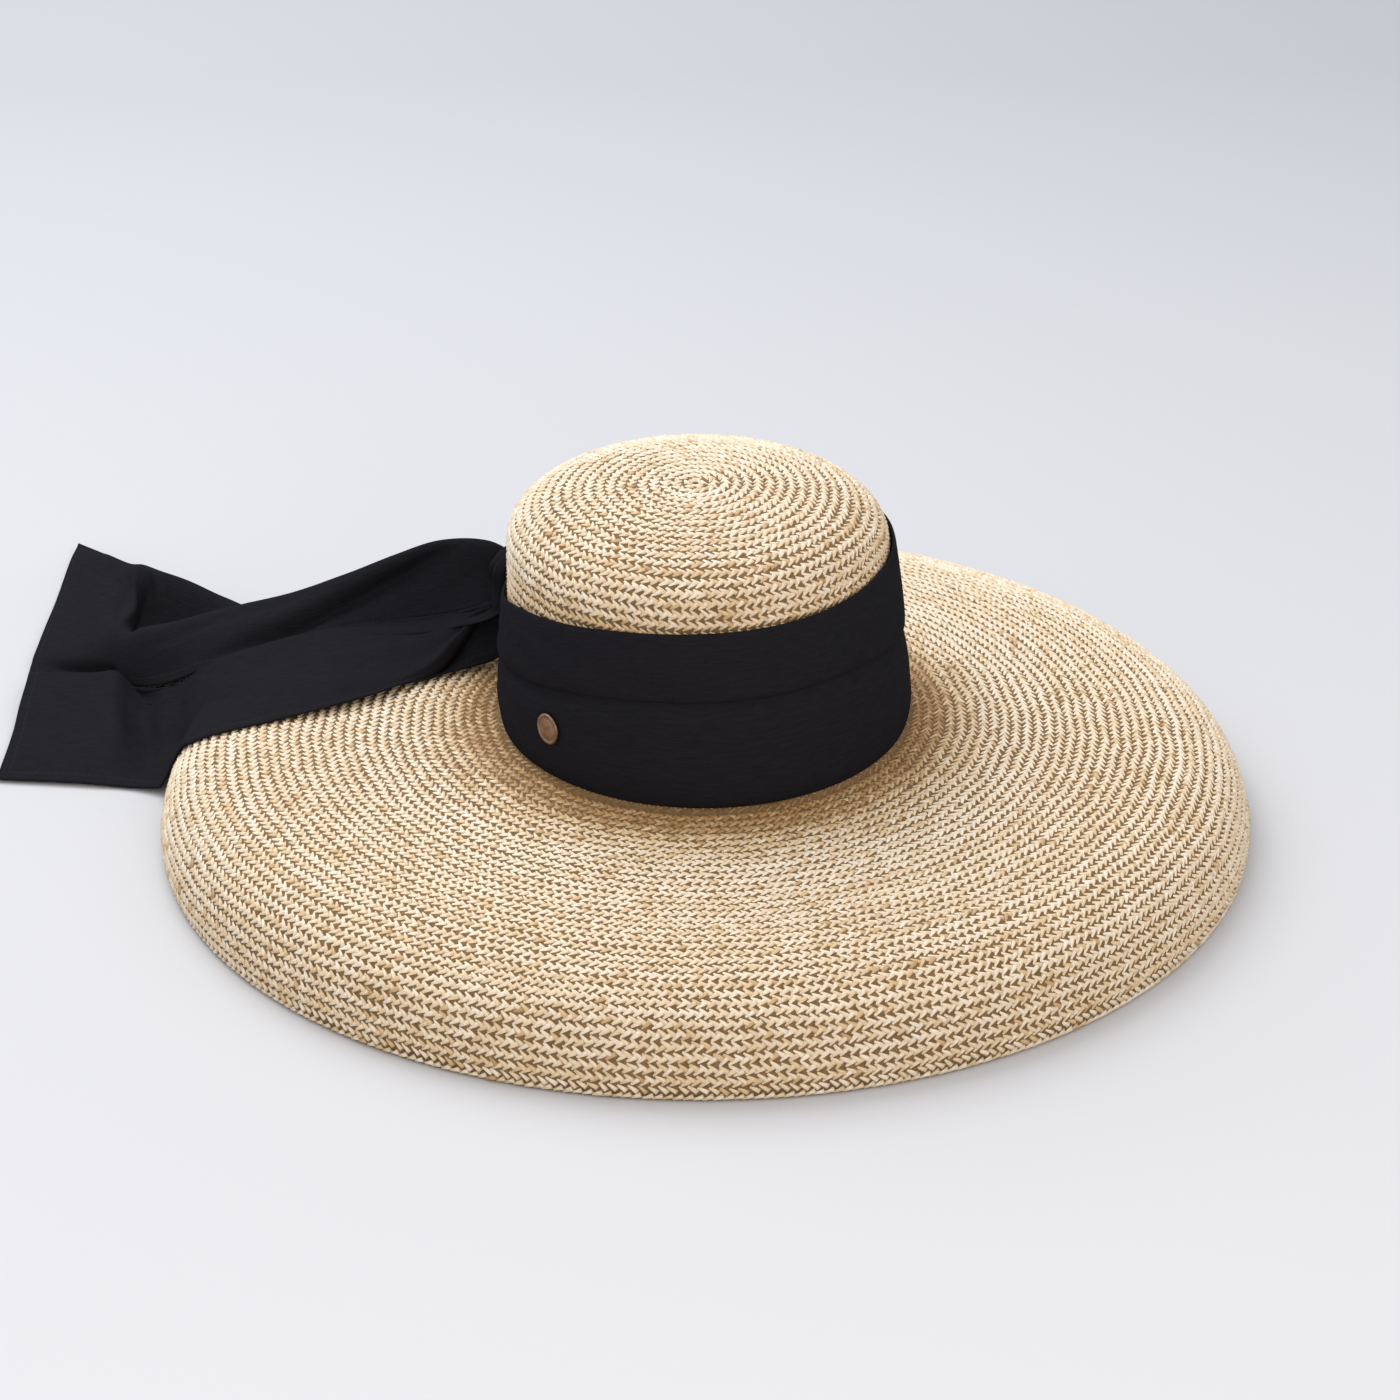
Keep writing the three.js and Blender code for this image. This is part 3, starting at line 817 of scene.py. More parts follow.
def band_grid(settings):
    """Folded band: its section of folds carried round the crown.

    At each angle the section's shares become heights between the foot, the fold and the top edge,
    and its distances stand off the straw. Shallow lengthwise wrinkles are added to the visible
    layers, and near the knot the cloth is drawn into gathers that fade out to both sides.
    """
    turn = turns(BAND_AROUND)[:, None]
    degrees = np.degrees(turn)
    fold, top = band_edge(degrees, FOLD_EDGE), band_edge(degrees, TOP_EDGE)
    part, share, off = BAND_FOLDS.T
    low = BAND_FOOT + (fold - BAND_FOOT) * share
    high = fold + (top - fold) * share
    height = np.where(part == 0, low, high)
    section = np.stack([np.broadcast_to(off * SECTION_STRETCH, height.shape), height], axis=-1)
    section = along_points(section, np.linspace(0, 1, BAND_ACROSS))
    off, height = section[..., 0] / SECTION_STRETCH, section[..., 1]
    shown = smoothstep(*SHOWN_OFF, off)
    share = (height - BAND_FOOT) / (top - BAND_FOOT)
    apart = np.abs((degrees - KNOT_ANGLE + 180) % 360 - 180)
    drawn = np.exp(-(apart / GATHER_SPREAD) ** 2)
    from_badge = np.hypot((degrees - BADGE_ANGLE) * CALM_ARC, height - BADGE_HEIGHT)
    calm = 1 - np.exp(-(from_badge / CALM_SPREAD) ** 2)
    closing = np.sin(turn / 2) ** CLOSING_POWER
    arc = turn * BAND_RADIUS
    wrinkle = unevenness(arc * BAND_DRAWN_OUT, height, *BAND_WRINKLES) * settings.wrinkle / MM
    gather = np.cos(2 * np.pi * BAND_GATHERS * share + GATHER_PHASE) * settings.gather / MM
    off = off + shown * (wrinkle * closing * calm + gather * drawn)
    grid = on_straw(turn, wall_radius(height) + np.maximum(off, LEAST_OFF), height)
    wander = TOP_WANDER * unevenness(arc, 0 * arc, *TOP_WAVES) * closing
    grid[..., 2] += wander * smoothstep(*TOP_SHARES, share)
    return grid


def knot_surface():
    """Knot: a soft pillow with a waist, closed at both poles, with grooves of the wrapped cloth.

    A point of the round form has its shares raised to a power below 1 times the half sizes, the
    width drawn in at the waist; slanting grooves go in by a cosine of its turn, and the inner side
    is pushed out to the band.
    """
    rise = np.linspace(-np.pi / 2, np.pi / 2, KNOT_ROWS + 2)[1:-1]
    turn, rise = np.meshgrid(turns(KNOT_AROUND), rise, indexing="ij")
    ball = np.stack([np.cos(rise) * np.cos(turn), np.sin(rise), np.cos(rise) * np.sin(turn)], axis=-1)
    shares = np.concatenate([ball.reshape(-1, 3), [(0.0, -1.0, 0.0), (0.0, 1.0, 0.0)]])
    soft = np.sign(shares) * np.abs(shares) ** KNOT_POWER
    side, up, out = shares.T
    waist = 1 - KNOT_WAIST * np.cos(np.pi * np.minimum(np.abs(up) * WAIST_REACH, 1))
    swing = np.arctan2(out, side) + KNOT_TWIST * up
    ring = np.sqrt(np.maximum(1 - up ** 2, 0))
    deep = DEEP_GROOVES[1] * ring * (1 + np.cos(DEEP_GROOVES[0] * swing)) ** 2 / 4
    fine = FINE_GROOVES[1] * ring * (1 + np.cos(FINE_GROOVES[0] * swing + 1)) / 2
    groove = 1 - deep - fine
    along_way, up_way, out_way = side_frame(KNOT_ANGLE)
    place = (
        on_band(KNOT_ANGLE, KNOT_HEIGHT, KNOT_OUT)
        + along_way * (KNOT_HALF[0] * waist * soft[:, 0] * groove)[:, None]
        + up_way * (KNOT_HALF[1] * soft[:, 1])[:, None]
        + out_way * (KNOT_HALF[2] * soft[:, 2] * groove)[:, None]
    )
    degrees = np.degrees(np.arctan2(place[:, 1] / CROWN_OVAL, place[:, 0]))
    back = on_band(degrees, place[:, 2], KNOT_GAP)
    push = np.hypot(back[:, 0], back[:, 1]) / np.hypot(place[:, 0], place[:, 1])
    place[:, :2] *= np.maximum(push, 1)[:, None]
    i, j = grid_corners(KNOT_AROUND, KNOT_ROWS, True)
    faces = [
        (i % KNOT_AROUND) * KNOT_ROWS + j,
        ring_fan(KNOT_AROUND, KNOT_ROWS, 0, len(place) - 2, True),
        ring_fan(KNOT_AROUND, KNOT_ROWS, KNOT_ROWS - 1, len(place) - 1, False),
    ]
    k = np.arange(KNOT_AROUND)
    low = np.stack([np.zeros((KNOT_AROUND, 3)), np.stack([k, k + 1, k], axis=1)], axis=-1)
    uv = [np.stack([j, i], axis=-1), low, low + (KNOT_ROWS, 0)]
    return place, faces, [corners * KNOT_WEAVE_STEP * MM for corners in uv]


def badge_surface():
    """Oval plate: a profile of share of its half size and height, carried round the oval.

    It is a low dome, a groove, a raised border, the edge and a flat back, closed by a point in the
    middle of the front and of the back.
    """
    turn = turns(BADGE_AROUND)[:, None]
    share, height = BADGE_PROFILE.T
    rings = np.stack(np.broadcast_arrays(np.cos(turn) * share, np.sin(turn) * share, height), axis=-1)
    shares = np.concatenate([rings.reshape(-1, 3), [(0.0, 0.0, BADGE_TOP), (0.0, 0.0, 0.0)]])
    along_way, up_way, out_way = side_frame(BADGE_ANGLE)
    points = (
        on_band(BADGE_ANGLE, BADGE_HEIGHT, BADGE_GAP)
        + along_way * (shares[:, :1] * BADGE_HALF[0])
        + up_way * (shares[:, 1:2] * BADGE_HALF[1])
        + out_way * shares[:, 2:]
    )
    columns = len(BADGE_PROFILE)
    i, j = grid_corners(BADGE_AROUND, columns, True)
    return points, [
        ((i % BADGE_AROUND) * columns + j)[:, ::-1],
        ring_fan(BADGE_AROUND, columns, 0, len(points) - 2, False),
        ring_fan(BADGE_AROUND, columns, columns - 1, len(points) - 1, True),
    ]


def lowest_cloth(points):
    """Lowest height for cloth: on the brim, then easing down past the rim to the surface."""
    far = np.hypot(points[..., 0], points[..., 1])
    out = np.hypot(points[..., 0], points[..., 1] / oval_at(far))
    rising = BRIM_LINE[: np.argmax(BRIM_LINE[:, 0]) + 1]
    on_brim = np.interp(out, rising[:, 0], rising[:, 1])
    edge = np.interp(DROP_START, rising[:, 0], rising[:, 1])
    return np.where(out < DROP_START, on_brim, edge * (1 - smoothstep(DROP_START, DROP_END, out)))


def crease_depths(along, across, creases):
    """Depth of the creases over a tail's shares.

    A crease is a straight line on the cloth laid flat; its depth falls off across it by a bell
    curve with a width on either side, and eases in and out towards its two ends. A crease of
    negative depth stands up.
    """
    depth = np.zeros(np.broadcast_shapes(along.shape, across.shape))
    for start, start_across, end, end_across, deep, near, far in creases:
        run, rise = (end - start) * TAIL_LENGTH, (end_across - start_across) * TAIL_WIDTH
        size = np.hypot(run, rise)
        onward, sideways = (along - start) * TAIL_LENGTH, (across - start_across) * TAIL_WIDTH
        part = (onward * run + sideways * rise) / size ** 2
        away = (sideways * run - onward * rise) / size
        away = np.where(away < 0, away / near, away / far)
        fade = smoothstep(*CREASE_IN, part) * (1 - smoothstep(*CREASE_OUT, part))
        depth = depth + deep * fade * np.exp(-away * away)
    return depth


def tail_grid(lines, plan, creases, settings):
    """Tail of cloth through lines that run its length.

    A point is on the smooth curve across the lines at its share along them. Gathers near the knot
    are waves across the cloth that fade out along it, creases go in, and fine wrinkles follow its
    length. The cloth is then lifted clear of what it lies on.
    """
    along, across, seed, gathers = plan
    u, v = np.linspace(0, 1, along), np.linspace(0, 1, across)
    rails = along_points(lines, u)
    grid = along_points(np.swapaxes(rails, 0, 1), v)
    normal = unit(np.cross(np.gradient(grid, axis=0), np.gradient(grid, axis=1)))
    normal *= np.sign(normal[..., 2:].mean())
    u, v = u[:, None], v[None]
    fade = 1 - smoothstep(*GATHER_FADE, u)
    wave = np.cos(2 * np.pi * gathers * v + GATHER_SWAY * np.sin(SWAY_PACE * u))
    inside = smoothstep(0, SMOOTH_BORDER, v) * (1 - smoothstep(1 - SMOOTH_BORDER, 1, v))
    wrinkle = unevenness(u * TAIL_LENGTH * TAIL_DRAWN_OUT, v * TAIL_WIDTH, seed, *TAIL_WAVES)
    lift = wave * fade * settings.gather / MM * TAIL_GATHER
    lift = lift + wrinkle * settings.wrinkle / MM * TAIL_WRINKLE * inside - crease_depths(u, v, creases)
    grid = grid + normal * lift[..., None]
    lowest = lowest_cloth(grid) + CLOTH_GAP + settings.cloth_thickness / MM / 2
    grid[..., 2] = np.maximum(grid[..., 2], lowest)
    return grid


def front_tail_lines():
    """Near side, crease, middle, far fold and tucked edge of the front tail."""
    reach, far_reach, near_y, near_z, crease_y, crease_z, far_y, far_z = FRONT_TAIL.T
    near = np.column_stack([-reach, near_y, near_z + CLOTH_RAISE])
    crease = np.column_stack([-reach, crease_y, crease_z + CLOTH_RAISE])
    fold = np.column_stack([-far_reach, far_y - FOLD_ROUND, far_z + FOLD_RAISE])
    tuck = np.column_stack([-far_reach, far_y - TUCK_DEPTH, far_z - TUCK_DROP])
    lines = np.stack([near, crease, (crease + fold) / 2, fold, tuck])
    return np.concatenate([FRONT_ROOT[:, None], lines], axis=1)


def back_tail_lines():
    """Near side, ridge, valley, crest and far side of the back tail."""
    reach, *places = BACK_TAIL.T
    pairs = zip(places[::2], places[1::2])
    lines = np.stack([np.column_stack([-reach, y, z + CLOTH_RAISE]) for y, z in pairs])
    return np.concatenate([BACK_ROOT[:, None], lines], axis=1)


def running_length(grid, axis):
    """Length from the start of a grid along one axis, as the mean over the other."""
    return running(np.linalg.norm(np.diff(grid, axis=axis), axis=-1).mean(axis=1 - axis))


def cloth_piece(name, grid, settings, ring=False, hems=()):
    """Thin solid of cloth with its lengths as its weave coordinates and its distance from the
    hemmed sides (near, far and end) as a named value."""
    points, quads, (i, j) = thin_solid(grid, settings.cloth_thickness / MM, ring)
    long_way = running_length(np.concatenate([grid, grid[:1]]) if ring else grid, 0)
    wide_way = running_length(grid, 1)
    uv = np.stack([long_way[i], wide_way[j]], axis=-1) * MM
    from_side = {
        "near": wide_way[None],
        "far": (wide_way[-1] - wide_way)[None],
        "end": (long_way[-1] - long_way[:len(grid)])[:, None],
    }
    away = np.full(grid.shape[:2], NO_HEM)
    for side in hems:
        away = np.minimum(away, from_side[side])
    cloth = shared("black_cloth", cloth_material, settings)
    marks = {"hem": ("POINT", np.tile(away.ravel(), 2))}
    return put_mesh(name, points, [quads], [cloth], uv=[uv], marks=marks)


# Materials

def set_inputs(tree, node, inputs):
    """Sets a node's inputs: an output of another node is linked, anything else is a fixed value."""
    for key, value in inputs.items():
        if isinstance(value, bpy.types.NodeSocket):
            tree.links.new(value, node.inputs[key])
        else:
            node.inputs[key].default_value = value


def add_node(tree, kind, inputs=None, **settings):
    """New shader node with its settings and inputs."""
    made = tree.nodes.new("ShaderNode" + kind)
    for key, value in settings.items():
        setattr(made, key, value)
    set_inputs(tree, made, inputs or {})
    return made


def new_material(name):
    """Empty node material and its surface shader."""
    material = bpy.data.materials.new(name)
    material.use_nodes = True
    tree = material.node_tree
    tree.nodes.clear()
    shader = add_node(tree, "BsdfPrincipled")
    add_node(tree, "OutputMaterial", {"Surface": shader.outputs["BSDF"]})
    return material, tree, shader


def ramp(tree, value, stops):
    """Colour of a value on a ramp through stops of place and colour."""
    made = add_node(tree, "ValToRGB", {"Fac": value})
    bar = made.color_ramp
    bar.elements[0].position, bar.elements[1].position = stops[0][0], stops[-1][0]
    for place, _ in stops[1:-1]:
        bar.elements.new(place)
    for element, (_, colour) in zip(bar.elements, stops):
        element.color = (*colour, 1)
    return made.outputs["Color"]


def object_place(tree):
    """Place on the object."""
    return add_node(tree, "TexCoord").outputs["Object"]


def weave_place(tree):
    """Place on the piece's own lengths, in metres."""
    return add_node(tree, "UVMap", uv_map="weave").outputs["UV"]


def stretched(tree, place, along, across):
    """Place with its two lengths multiplied."""
    return add_node(tree, "Mapping", {"Vector": place, "Scale": (along, across, 1.0)}).outputs["Vector"]


def noise(tree, place, scale, detail, roughness):
    """Cloudy unevenness from 0 to 1."""
    inputs = {"Vector": place, "Scale": scale, "Detail": detail, "Roughness": roughness}
    return add_node(tree, "TexNoise", inputs).outputs["Fac"]


def spread(tree, value, start=(0.0, 1.0), end=(0.0, 1.0), kind="LINEAR"):
    """Value between two limits at the start, carried to two limits at the end."""
    limits = {"From Min": start[0], "From Max": start[1], "To Min": end[0], "To Max": end[1]}
    made = add_node(tree, "MapRange", {"Value": value, **limits}, interpolation_type=kind)
    return made.outputs["Result"]


def sums(tree, operation, *values):
    """Result of a sum on values in the order that the sum takes them."""
    return add_node(tree, "Math", dict(enumerate(values)), operation=operation).outputs["Value"]


def mixed(tree, share, first, second, blend="MIX"):
    """Two colours mixed by a share of the second."""
    inputs = {"Factor": share, "A": first, "B": second}
    return add_node(tree, "Mix", inputs, data_type="RGBA", blend_type=blend).outputs["Result"]


def bumped(tree, height, strength, distance):
    """Surface direction over small heights, at a distance in metres."""
    inputs = {"Height": height, "Strength": strength, "Distance": distance}
    return add_node(tree, "Bump", inputs).outputs["Normal"]


def times(colour, share):
    """Colour made darker or lighter by a share."""
    return tuple(share * c for c in colour)


def straw_material(settings):
    """Split straw: tone by strip, which carries the painted shade by the band and at the rim, fine grain
    along each strip, a soft gloss.
    """
    material, tree, shader = new_material("split_straw")
    tone = add_node(tree, "Attribute", attribute_name="tone").outputs["Fac"]
    colours = ramp(tree, tone, [
        (0.0, settings.dark),
        (0.35, settings.middle),
        (0.7, settings.light),
        (1.0, settings.pale),
    ])
    fibres = stretched(tree, weave_place(tree), along=160.0, across=2600.0)
    grain = noise(tree, fibres, scale=1.0, detail=3.0, roughness=0.6)
    shade = ramp(tree, grain, [
        (0.3, (0.72, 0.68, 0.62)),
        (0.5, (0.97, 0.96, 0.94)),
        (0.75, (1.0, 1.0, 1.0)),
    ])
    set_inputs(tree, shader, {
        "Base Color": mixed(tree, 1.0, colours, shade, "MULTIPLY"),
        "Roughness": spread(tree, grain, end=(0.42, 0.6)),
        "Normal": bumped(tree, grain, strength=0.5, distance=0.0002),
        "Specular IOR Level": 0.5,
    })
    return material


def shaded_ground_material(settings):
    """Straw under the strips: blotched dark brown, painted shade where it shows between them."""
    material, tree, shader = new_material("shaded_straw_ground")
    blotch = noise(tree, object_place(tree), scale=420.0, detail=3.0, roughness=0.6)
    set_inputs(tree, shader, {
        "Base Color": ramp(tree, blotch, [(0.3, times(settings.ground, 0.55)), (0.7, settings.ground)]),
        "Normal": bumped(tree, blotch, strength=0.6, distance=0.0004),
        "Roughness": 0.9,
        "Specular IOR Level": 0.2,
    })
    return material


def cloth_material(settings):
    """Plain woven black cloth: crossed threads, slubs, a soft sheen and a sewn line by the hems."""
    material, tree, shader = new_material("black_cloth")
    place = weave_place(tree)
    pace = WAVE_BAND / settings.thread_pitch
    wave = {"Vector": stretched(tree, place, pace, pace), "Scale": 1.0, "Distortion": 0.6, "Detail": 1.0}
    warp = add_node(tree, "TexWave", wave, bands_direction="X").outputs["Fac"]
    weft = add_node(tree, "TexWave", wave, bands_direction="Y").outputs["Fac"]
    yarn = stretched(tree, place, along=110.0, across=900.0)
    slub = noise(tree, yarn, scale=1.0, detail=4.0, roughness=0.65)
    colours = ramp(tree, slub, [
        (0.25, times(settings.cloth, 0.78)),
        (0.5, settings.cloth),
        (0.8, times(settings.cloth, 1.24)),
    ])
    hem = add_node(tree, "Attribute", attribute_name="hem").outputs["Fac"]
    by_hem = sums(tree, "COMPARE", hem, HEM_LINE, HEM_HALF_WIDTH)
    split = add_node(tree, "SeparateXYZ", {"Vector": place})
    along = sums(tree, "ADD", split.outputs["X"], split.outputs["Y"])
    count = sums(tree, "MULTIPLY", along, 1 / SEWN_PITCH)
    stitch = sums(tree, "LESS_THAN", sums(tree, "FRACT", count), SEWN_SHARE)
    sewn = sums(tree, "MULTIPLY", by_hem, stitch)
    threads = sums(tree, "MULTIPLY_ADD", slub, 0.6, sums(tree, "MULTIPLY", warp, weft))
    set_inputs(tree, shader, {
        "Base Color": mixed(tree, sewn, colours, (*times(settings.cloth, 1.35), 1)),
        "Normal": bumped(tree, sums(tree, "ADD", threads, sewn), strength=0.45, distance=0.00025),
        "Roughness": 0.82,
        "Specular IOR Level": 0.002,
        "Sheen Weight": 0.002,
        "Sheen Roughness": 0.5,
        "Sheen Tint": (0.85, 0.88, 1.0, 1.0),
    })
    return material


def badge_material(settings):
    """Dull copper-brown metal, unevenly tarnished."""
    material, tree, shader = new_material("dull_copper")
    tarnish = noise(tree, object_place(tree), scale=260.0, detail=4.0, roughness=0.6)
    set_inputs(tree, shader, {
        "Base Color": ramp(tree, tarnish, [(0.3, times(settings.metal, 0.45)), (0.65, settings.metal)]),
        "Roughness": spread(tree, tarnish, end=(0.55, 0.3)),
        "Normal": bumped(tree, tarnish, strength=0.25, distance=0.0002),
        "Metallic": 1.0,
    })
    return material


def floor_material(settings):
    """Plain floor with painted shade that darkens it a little to the back, and painted light that turns it
    pale far away all round.
    """
    material, tree, shader = new_material("pale_floor")
    place = object_place(tree)
    depth = add_node(tree, "SeparateXYZ", {"Vector": place}).outputs["Y"]
    back = spread(tree, depth, start=FLOOR_SHADE_FADE)
    fade = ramp(tree, back, [(0.0, settings.floor), (1.0, settings.shaded_floor_back)])
    reach = add_node(tree, "VectorMath", {0: place}, operation="LENGTH").outputs["Value"]
    far = spread(tree, reach, start=FLOOR_FAR, kind="SMOOTHSTEP")
    set_inputs(tree, shader, {
        "Base Color": mixed(tree, far, fade, FAR_PAINTED_LIGHT),
        "Roughness": 0.9,
        "Specular IOR Level": 0.1,
    })
    return material


def shared(name, make, settings):
    """Material of that name, made the first time that it is asked for."""
    return bpy.data.materials.get(name) or make(settings)


# Settings

class HatStrawSettings(bpy.types.PropertyGroup):
    """Sizes and colours of the woven straw"""
    row_pitch: FloatProperty(
        name="Braid pitch", description="Distance between braids", default=0.0050, unit="LENGTH")
    strip_pitch: FloatProperty(
        name="Strip pitch", description="Distance between strips on a braid", default=0.0041, unit="LENGTH")
    strip_overlap: FloatProperty(
        name="Strip overlap", description="Length of a strip over its half of the braid", default=1.32,
        subtype="FACTOR", max=3.0)
    slant: FloatProperty(
        name="Slant", description="Turn of a strip from its braid", default=math.radians(36), subtype="ANGLE")
    # The dark end of the straw's tones also takes the painted shade by the band
    dark: FloatVectorProperty(
        name="Dark straw", description="Darkest strips", default=(0.36, 0.20, 0.072), subtype="COLOR")
    middle: FloatVectorProperty(
        name="Middle straw", description="Darker strips", default=(0.645, 0.475, 0.275), subtype="COLOR")
    light: FloatVectorProperty(
        name="Light straw", description="Lighter strips", default=(0.79, 0.685, 0.54), subtype="COLOR")
    pale: FloatVectorProperty(
        name="Pale straw", description="Palest strips", default=(0.84, 0.785, 0.69), subtype="COLOR")
    # Dark brown of the layer under the strips: painted shade in the gaps between them
    ground: FloatVectorProperty(
        name="Ground", description="Straw between the strips", default=(0.22, 0.135, 0.06), subtype="COLOR")
    crown_seed: IntProperty(name="Crown seed", description="Seed of the crown's variation", default=7)
    brim_seed: IntProperty(name="Brim seed", description="Seed of the brim's variation", default=37)


class HatSashSettings(bpy.types.PropertyGroup):
    """Sizes and colours of the cloth sash and its badge"""
    cloth_thickness: FloatProperty(
        name="Cloth thickness", description="Thickness of one layer", default=0.0009, unit="LENGTH")
    thread_pitch: FloatProperty(
        name="Thread pitch", description="Distance between threads", default=0.0011, unit="LENGTH")
    wrinkle: FloatProperty(
        name="Wrinkle", description="Height of the fine wrinkles", default=0.0003, unit="LENGTH")
    gather: FloatProperty(
        name="Gather", description="Height of the gathers by the knot", default=0.0016, unit="LENGTH")
    cloth: FloatVectorProperty(
        name="Cloth", description="Colour of the sash", default=(0.0126, 0.0122, 0.0150), subtype="COLOR")
    metal: FloatVectorProperty(
        name="Badge", description="Colour of the badge", default=(0.31, 0.198, 0.133), subtype="COLOR")


class HatStageSettings(bpy.types.PropertyGroup):
    """Floor, light and camera"""
    floor: FloatVectorProperty(
        name="Floor", description="Colour in front", default=(0.57, 0.575, 0.595), subtype="COLOR")
    # Painted shade: the floor's darker colour towards the back
    shaded_floor_back: FloatVectorProperty(
        name="Back floor", description="Colour far behind", default=(0.37, 0.38, 0.405), subtype="COLOR")
    key_power: FloatProperty(
        name="Overhead light", description="Power of the overhead light", default=42.5, unit="POWER")
    fill_power: FloatProperty(
        name="Front light", description="Power of the front light", default=25.5, unit="POWER")
    sky: FloatProperty(name="Sky", description="Strength of the even light", default=1.0)
    lens: FloatProperty(name="Lens", description="Focal length in millimetres", default=90.1)
    distance: FloatProperty(name="Distance", description="Camera to aim point", default=1.6, unit="LENGTH")
    elevation: FloatProperty(
        name="Elevation", description="Camera above level", default=math.radians(26.37), subtype="ANGLE")
    roll: FloatProperty(name="Roll", description="Camera tilt", default=-0.00511, subtype="ANGLE")


# Pieces

def seat(piece, slot, *nodes):
    """Hides the solids that a piece replaces and sets it on the body that it rides on; its finish is not
    used.
    """
    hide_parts(*nodes)
    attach(piece, "root")


def straw_piece(name, part, settings, seed):
    """Woven part of the hat in the place of its solid."""
    materials = [
        shared("split_straw", straw_material, settings),
        shared("shaded_straw_ground", shaded_ground_material, settings),
    ]
    seat(weave(name, part, settings, materials, seed), "straw", part)


class HatCrown(bpy.types.Operator):
    """Weave the crown"""
    bl_idname = "hat.crown"
    bl_label = "Crown"

    def execute(self, context):
        settings = context.scene.hat_straw
        straw_piece("woven_crown", "crown", settings, settings.crown_seed)
        return {"FINISHED"}


class HatBrim(bpy.types.Operator):
    """Weave the brim"""
    bl_idname = "hat.brim"
    bl_label = "Brim"

    def execute(self, context):
        settings = context.scene.hat_straw
        straw_piece("woven_brim", "brim", settings, settings.brim_seed)
        return {"FINISHED"}


class HatBand(bpy.types.Operator):
    """Fold the sash round the crown"""
    bl_idname = "hat.band"
    bl_label = "Sash band"

    def execute(self, context):
        settings = context.scene.hat_sash
        piece = cloth_piece("folded_band", band_grid(settings), settings, ring=True)
        seat(piece, "sash", "sash_band")
        return {"FINISHED"}


class HatKnot(bpy.types.Operator):
    """Tie the knot at the back left"""
    bl_idname = "hat.knot"
    bl_label = "Sash knot"

    def execute(self, context):
        cloth = shared("black_cloth", cloth_material, context.scene.hat_sash)
        points, faces, uv = knot_surface()
        marks = {"hem": ("POINT", np.full(len(points), NO_HEM))}
        piece = put_mesh("tied_knot", points, faces, [cloth], uv=uv, marks=marks)
        seat(piece, "sash", "sash_knot")
        return {"FINISHED"}


class HatTails(bpy.types.Operator):
    """Lay the two tails of the sash over the brim"""
    bl_idname = "hat.tails"
    bl_label = "Sash tails"

    def execute(self, context):
        settings = context.scene.hat_sash
        front = tail_grid(front_tail_lines(), FRONT_PLAN, FRONT_CREASES, settings)
        piece = cloth_piece("front_tail", front, settings, hems=("near", "end"))
        seat(piece, "sash", "sash_tail_front")
        back = tail_grid(back_tail_lines(), BACK_PLAN, BACK_CREASES, settings)
        piece = cloth_piece("back_tail", back, settings, hems=("near", "far", "end"))
        seat(piece, "sash", "sash_tail_back")
        return {"FINISHED"}


class HatBadge(bpy.types.Operator):
    """Set the oval badge on the band"""
    bl_idname = "hat.badge"
    bl_label = "Badge"

    def execute(self, context):
        metal = shared("dull_copper", badge_material, context.scene.hat_sash)
        points, faces = badge_surface()
        piece = put_mesh("oval_badge", points, faces, [metal])
        seat(piece, "badge", "badge")
        return {"FINISHED"}


# Stage

def lay_floor(settings):
    """Level square grid at height 0."""
    side = np.linspace(-FLOOR_HALF, FLOOR_HALF, FLOOR_POINTS) / MM
    x, y = np.meshgrid(side, side, indexing="ij")
    points = np.stack([x, y, np.zeros_like(x)], axis=-1).reshape(-1, 3)
    i, j = grid_corners(FLOOR_POINTS, FLOOR_POINTS, False)
    floor = put_mesh("stage_floor", points, [i * FLOOR_POINTS + j], [floor_material(settings)])


def hang_light(context, name, place, aim, colour, power):
    """Square area light that faces an aim point."""
    lamp = bpy.data.lights.new(name, "AREA")
    lamp.size = LIGHT_SIDE
    lamp.energy = power
    lamp.color = colour
    holder = bpy.data.objects.new(name, lamp)
    holder.location = place
    holder.rotation_euler = (Vector(aim) - Vector(place)).to_track_quat("-Z", "Y").to_euler()
    context.scene.collection.objects.link(holder)


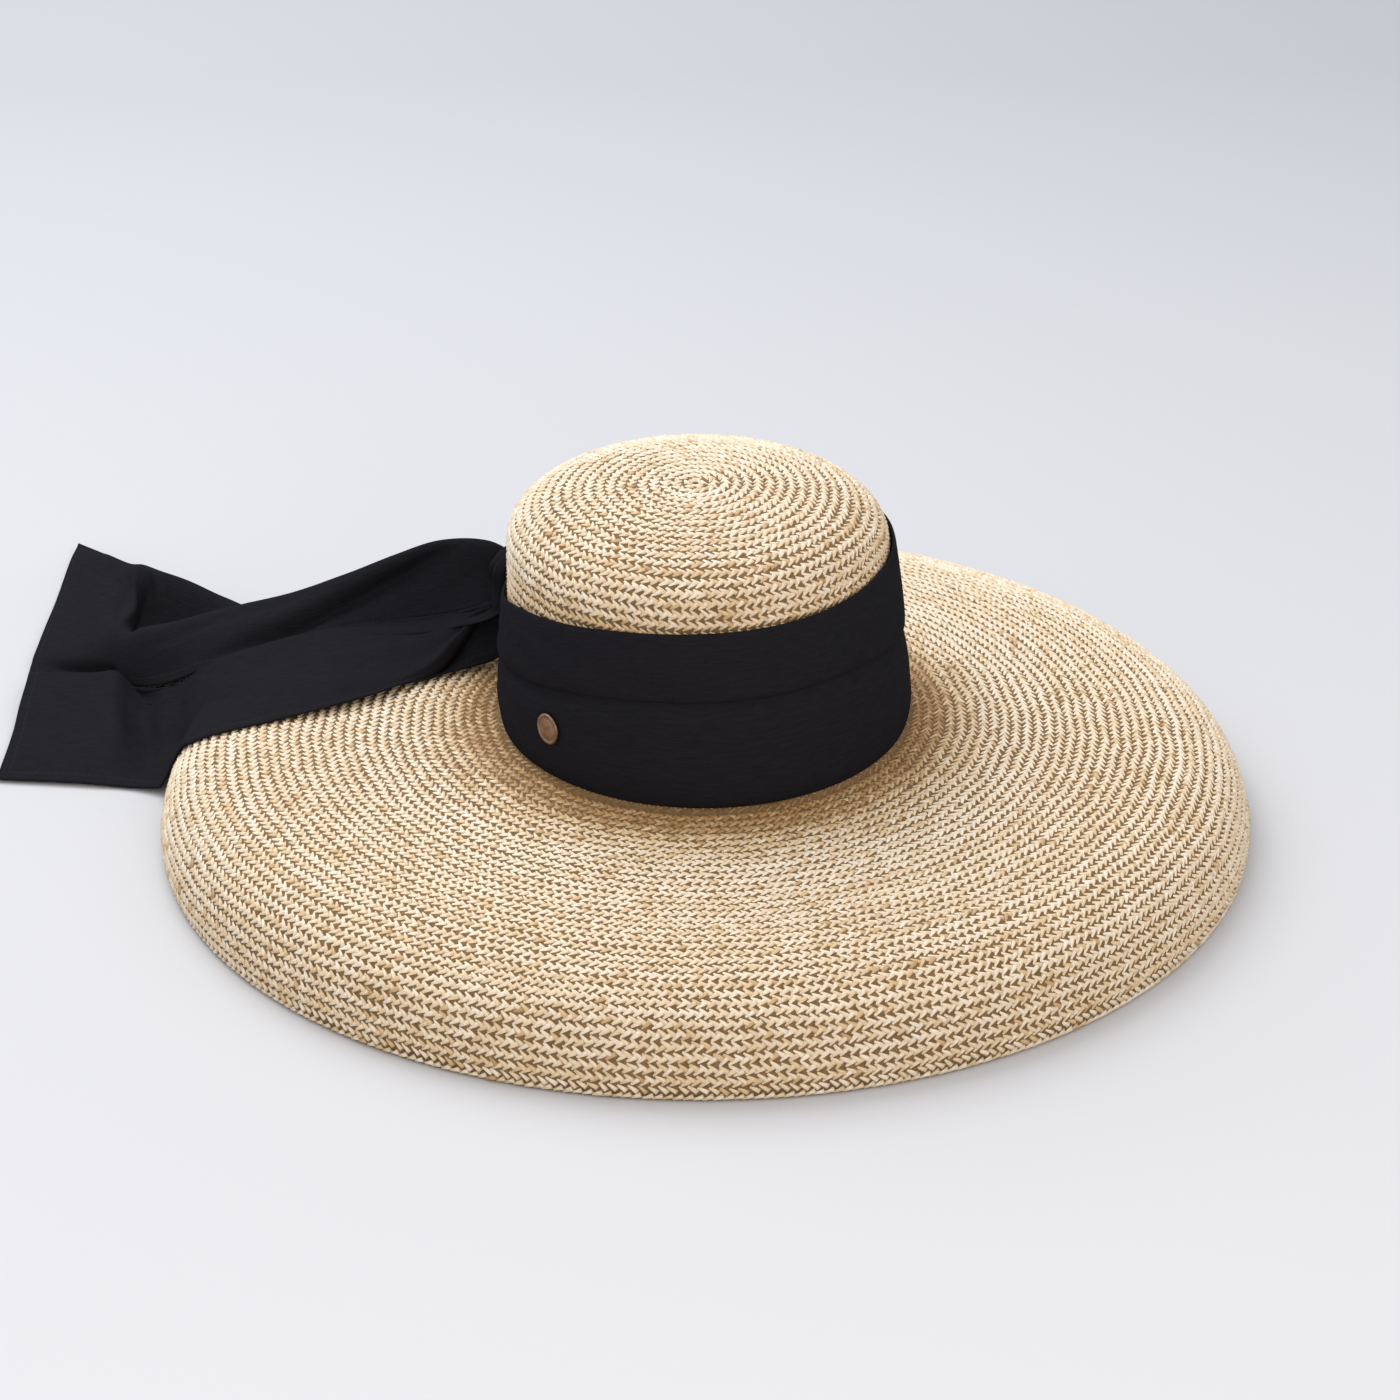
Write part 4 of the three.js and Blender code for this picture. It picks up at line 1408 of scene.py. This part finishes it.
def set_camera(context, settings):
    """Camera in front of the hat, at its distance from the aim point and its rise above level."""
    camera = bpy.data.cameras.new("camera")
    camera.sensor_width = SENSOR_WIDTH_MM
    camera.lens = settings.lens
    camera.clip_end = CAMERA_REACH
    holder = bpy.data.objects.new("camera", camera)
    rise = settings.elevation
    holder.location = Vector(CAMERA_AIM) + settings.distance * Vector((0.0, -math.cos(rise), math.sin(rise)))
    holder.rotation_mode = "QUATERNION"
    tip = Quaternion((1, 0, 0), math.pi / 2 - rise)
    holder.rotation_quaternion = tip @ Quaternion((0, 0, 1), settings.roll)
    context.scene.collection.objects.link(holder)
    context.scene.camera = holder


class HatStage(bpy.types.Operator):
    """Set the floor, the lights and the camera"""
    bl_idname = "hat.stage"
    bl_label = "Stage"

    def execute(self, context):
        settings = context.scene.hat_stage
        lay_floor(settings)
        world = bpy.data.worlds.new("even_light")
        world.use_nodes = True
        background = world.node_tree.nodes["Background"]
        set_inputs(world.node_tree, background, {"Color": SKY_COLOUR, "Strength": settings.sky})
        context.scene.world = world
        hang_light(context, "overhead", *OVERHEAD, settings.key_power)
        hang_light(context, "front", *FRONT_LIGHT, settings.fill_power)
        set_camera(context, settings)
        context.scene.view_settings.view_transform = "Standard"
        return {"FINISHED"}


class HatPanel(bpy.types.Panel):
    """Panel of the hat's steps and settings"""
    bl_idname = "HAT_PT_panel"
    bl_label = "Straw hat"
    bl_space_type = "VIEW_3D"
    bl_region_type = "UI"
    bl_category = "Hat"

    def draw(self, context):
        layout = self.layout
        for step in STEPS:
            layout.operator(step.bl_idname)
        for key, group in GROUPS.items():
            box = layout.box()
            for setting in group.__annotations__:
                box.prop(getattr(context.scene, key), setting)


GROUPS = {"hat_straw": HatStrawSettings, "hat_sash": HatSashSettings, "hat_stage": HatStageSettings}
STEPS = (HatCrown, HatBrim, HatBand, HatKnot, HatTails, HatBadge, HatStage)
CLASSES = (*GROUPS.values(), *STEPS, HatPanel)


def register():
    """Adds the classes and the three groups of settings."""
    for made in CLASSES:
        bpy.utils.register_class(made)
    for key, group in GROUPS.items():
        setattr(bpy.types.Scene, key, PointerProperty(type=group))


def unregister():
    """Takes the settings and the classes away again."""
    for key in GROUPS:
        delattr(bpy.types.Scene, key)
    for made in reversed(CLASSES):
        bpy.utils.unregister_class(made)


def main():
    """Makes the pieces and the stage in order."""
    register()
    bpy.ops.hat.crown()
    bpy.ops.hat.brim()
    bpy.ops.hat.band()
    bpy.ops.hat.knot()
    bpy.ops.hat.tails()
    bpy.ops.hat.badge()
    bpy.ops.hat.stage()


if __name__ == "__main__":
    main()
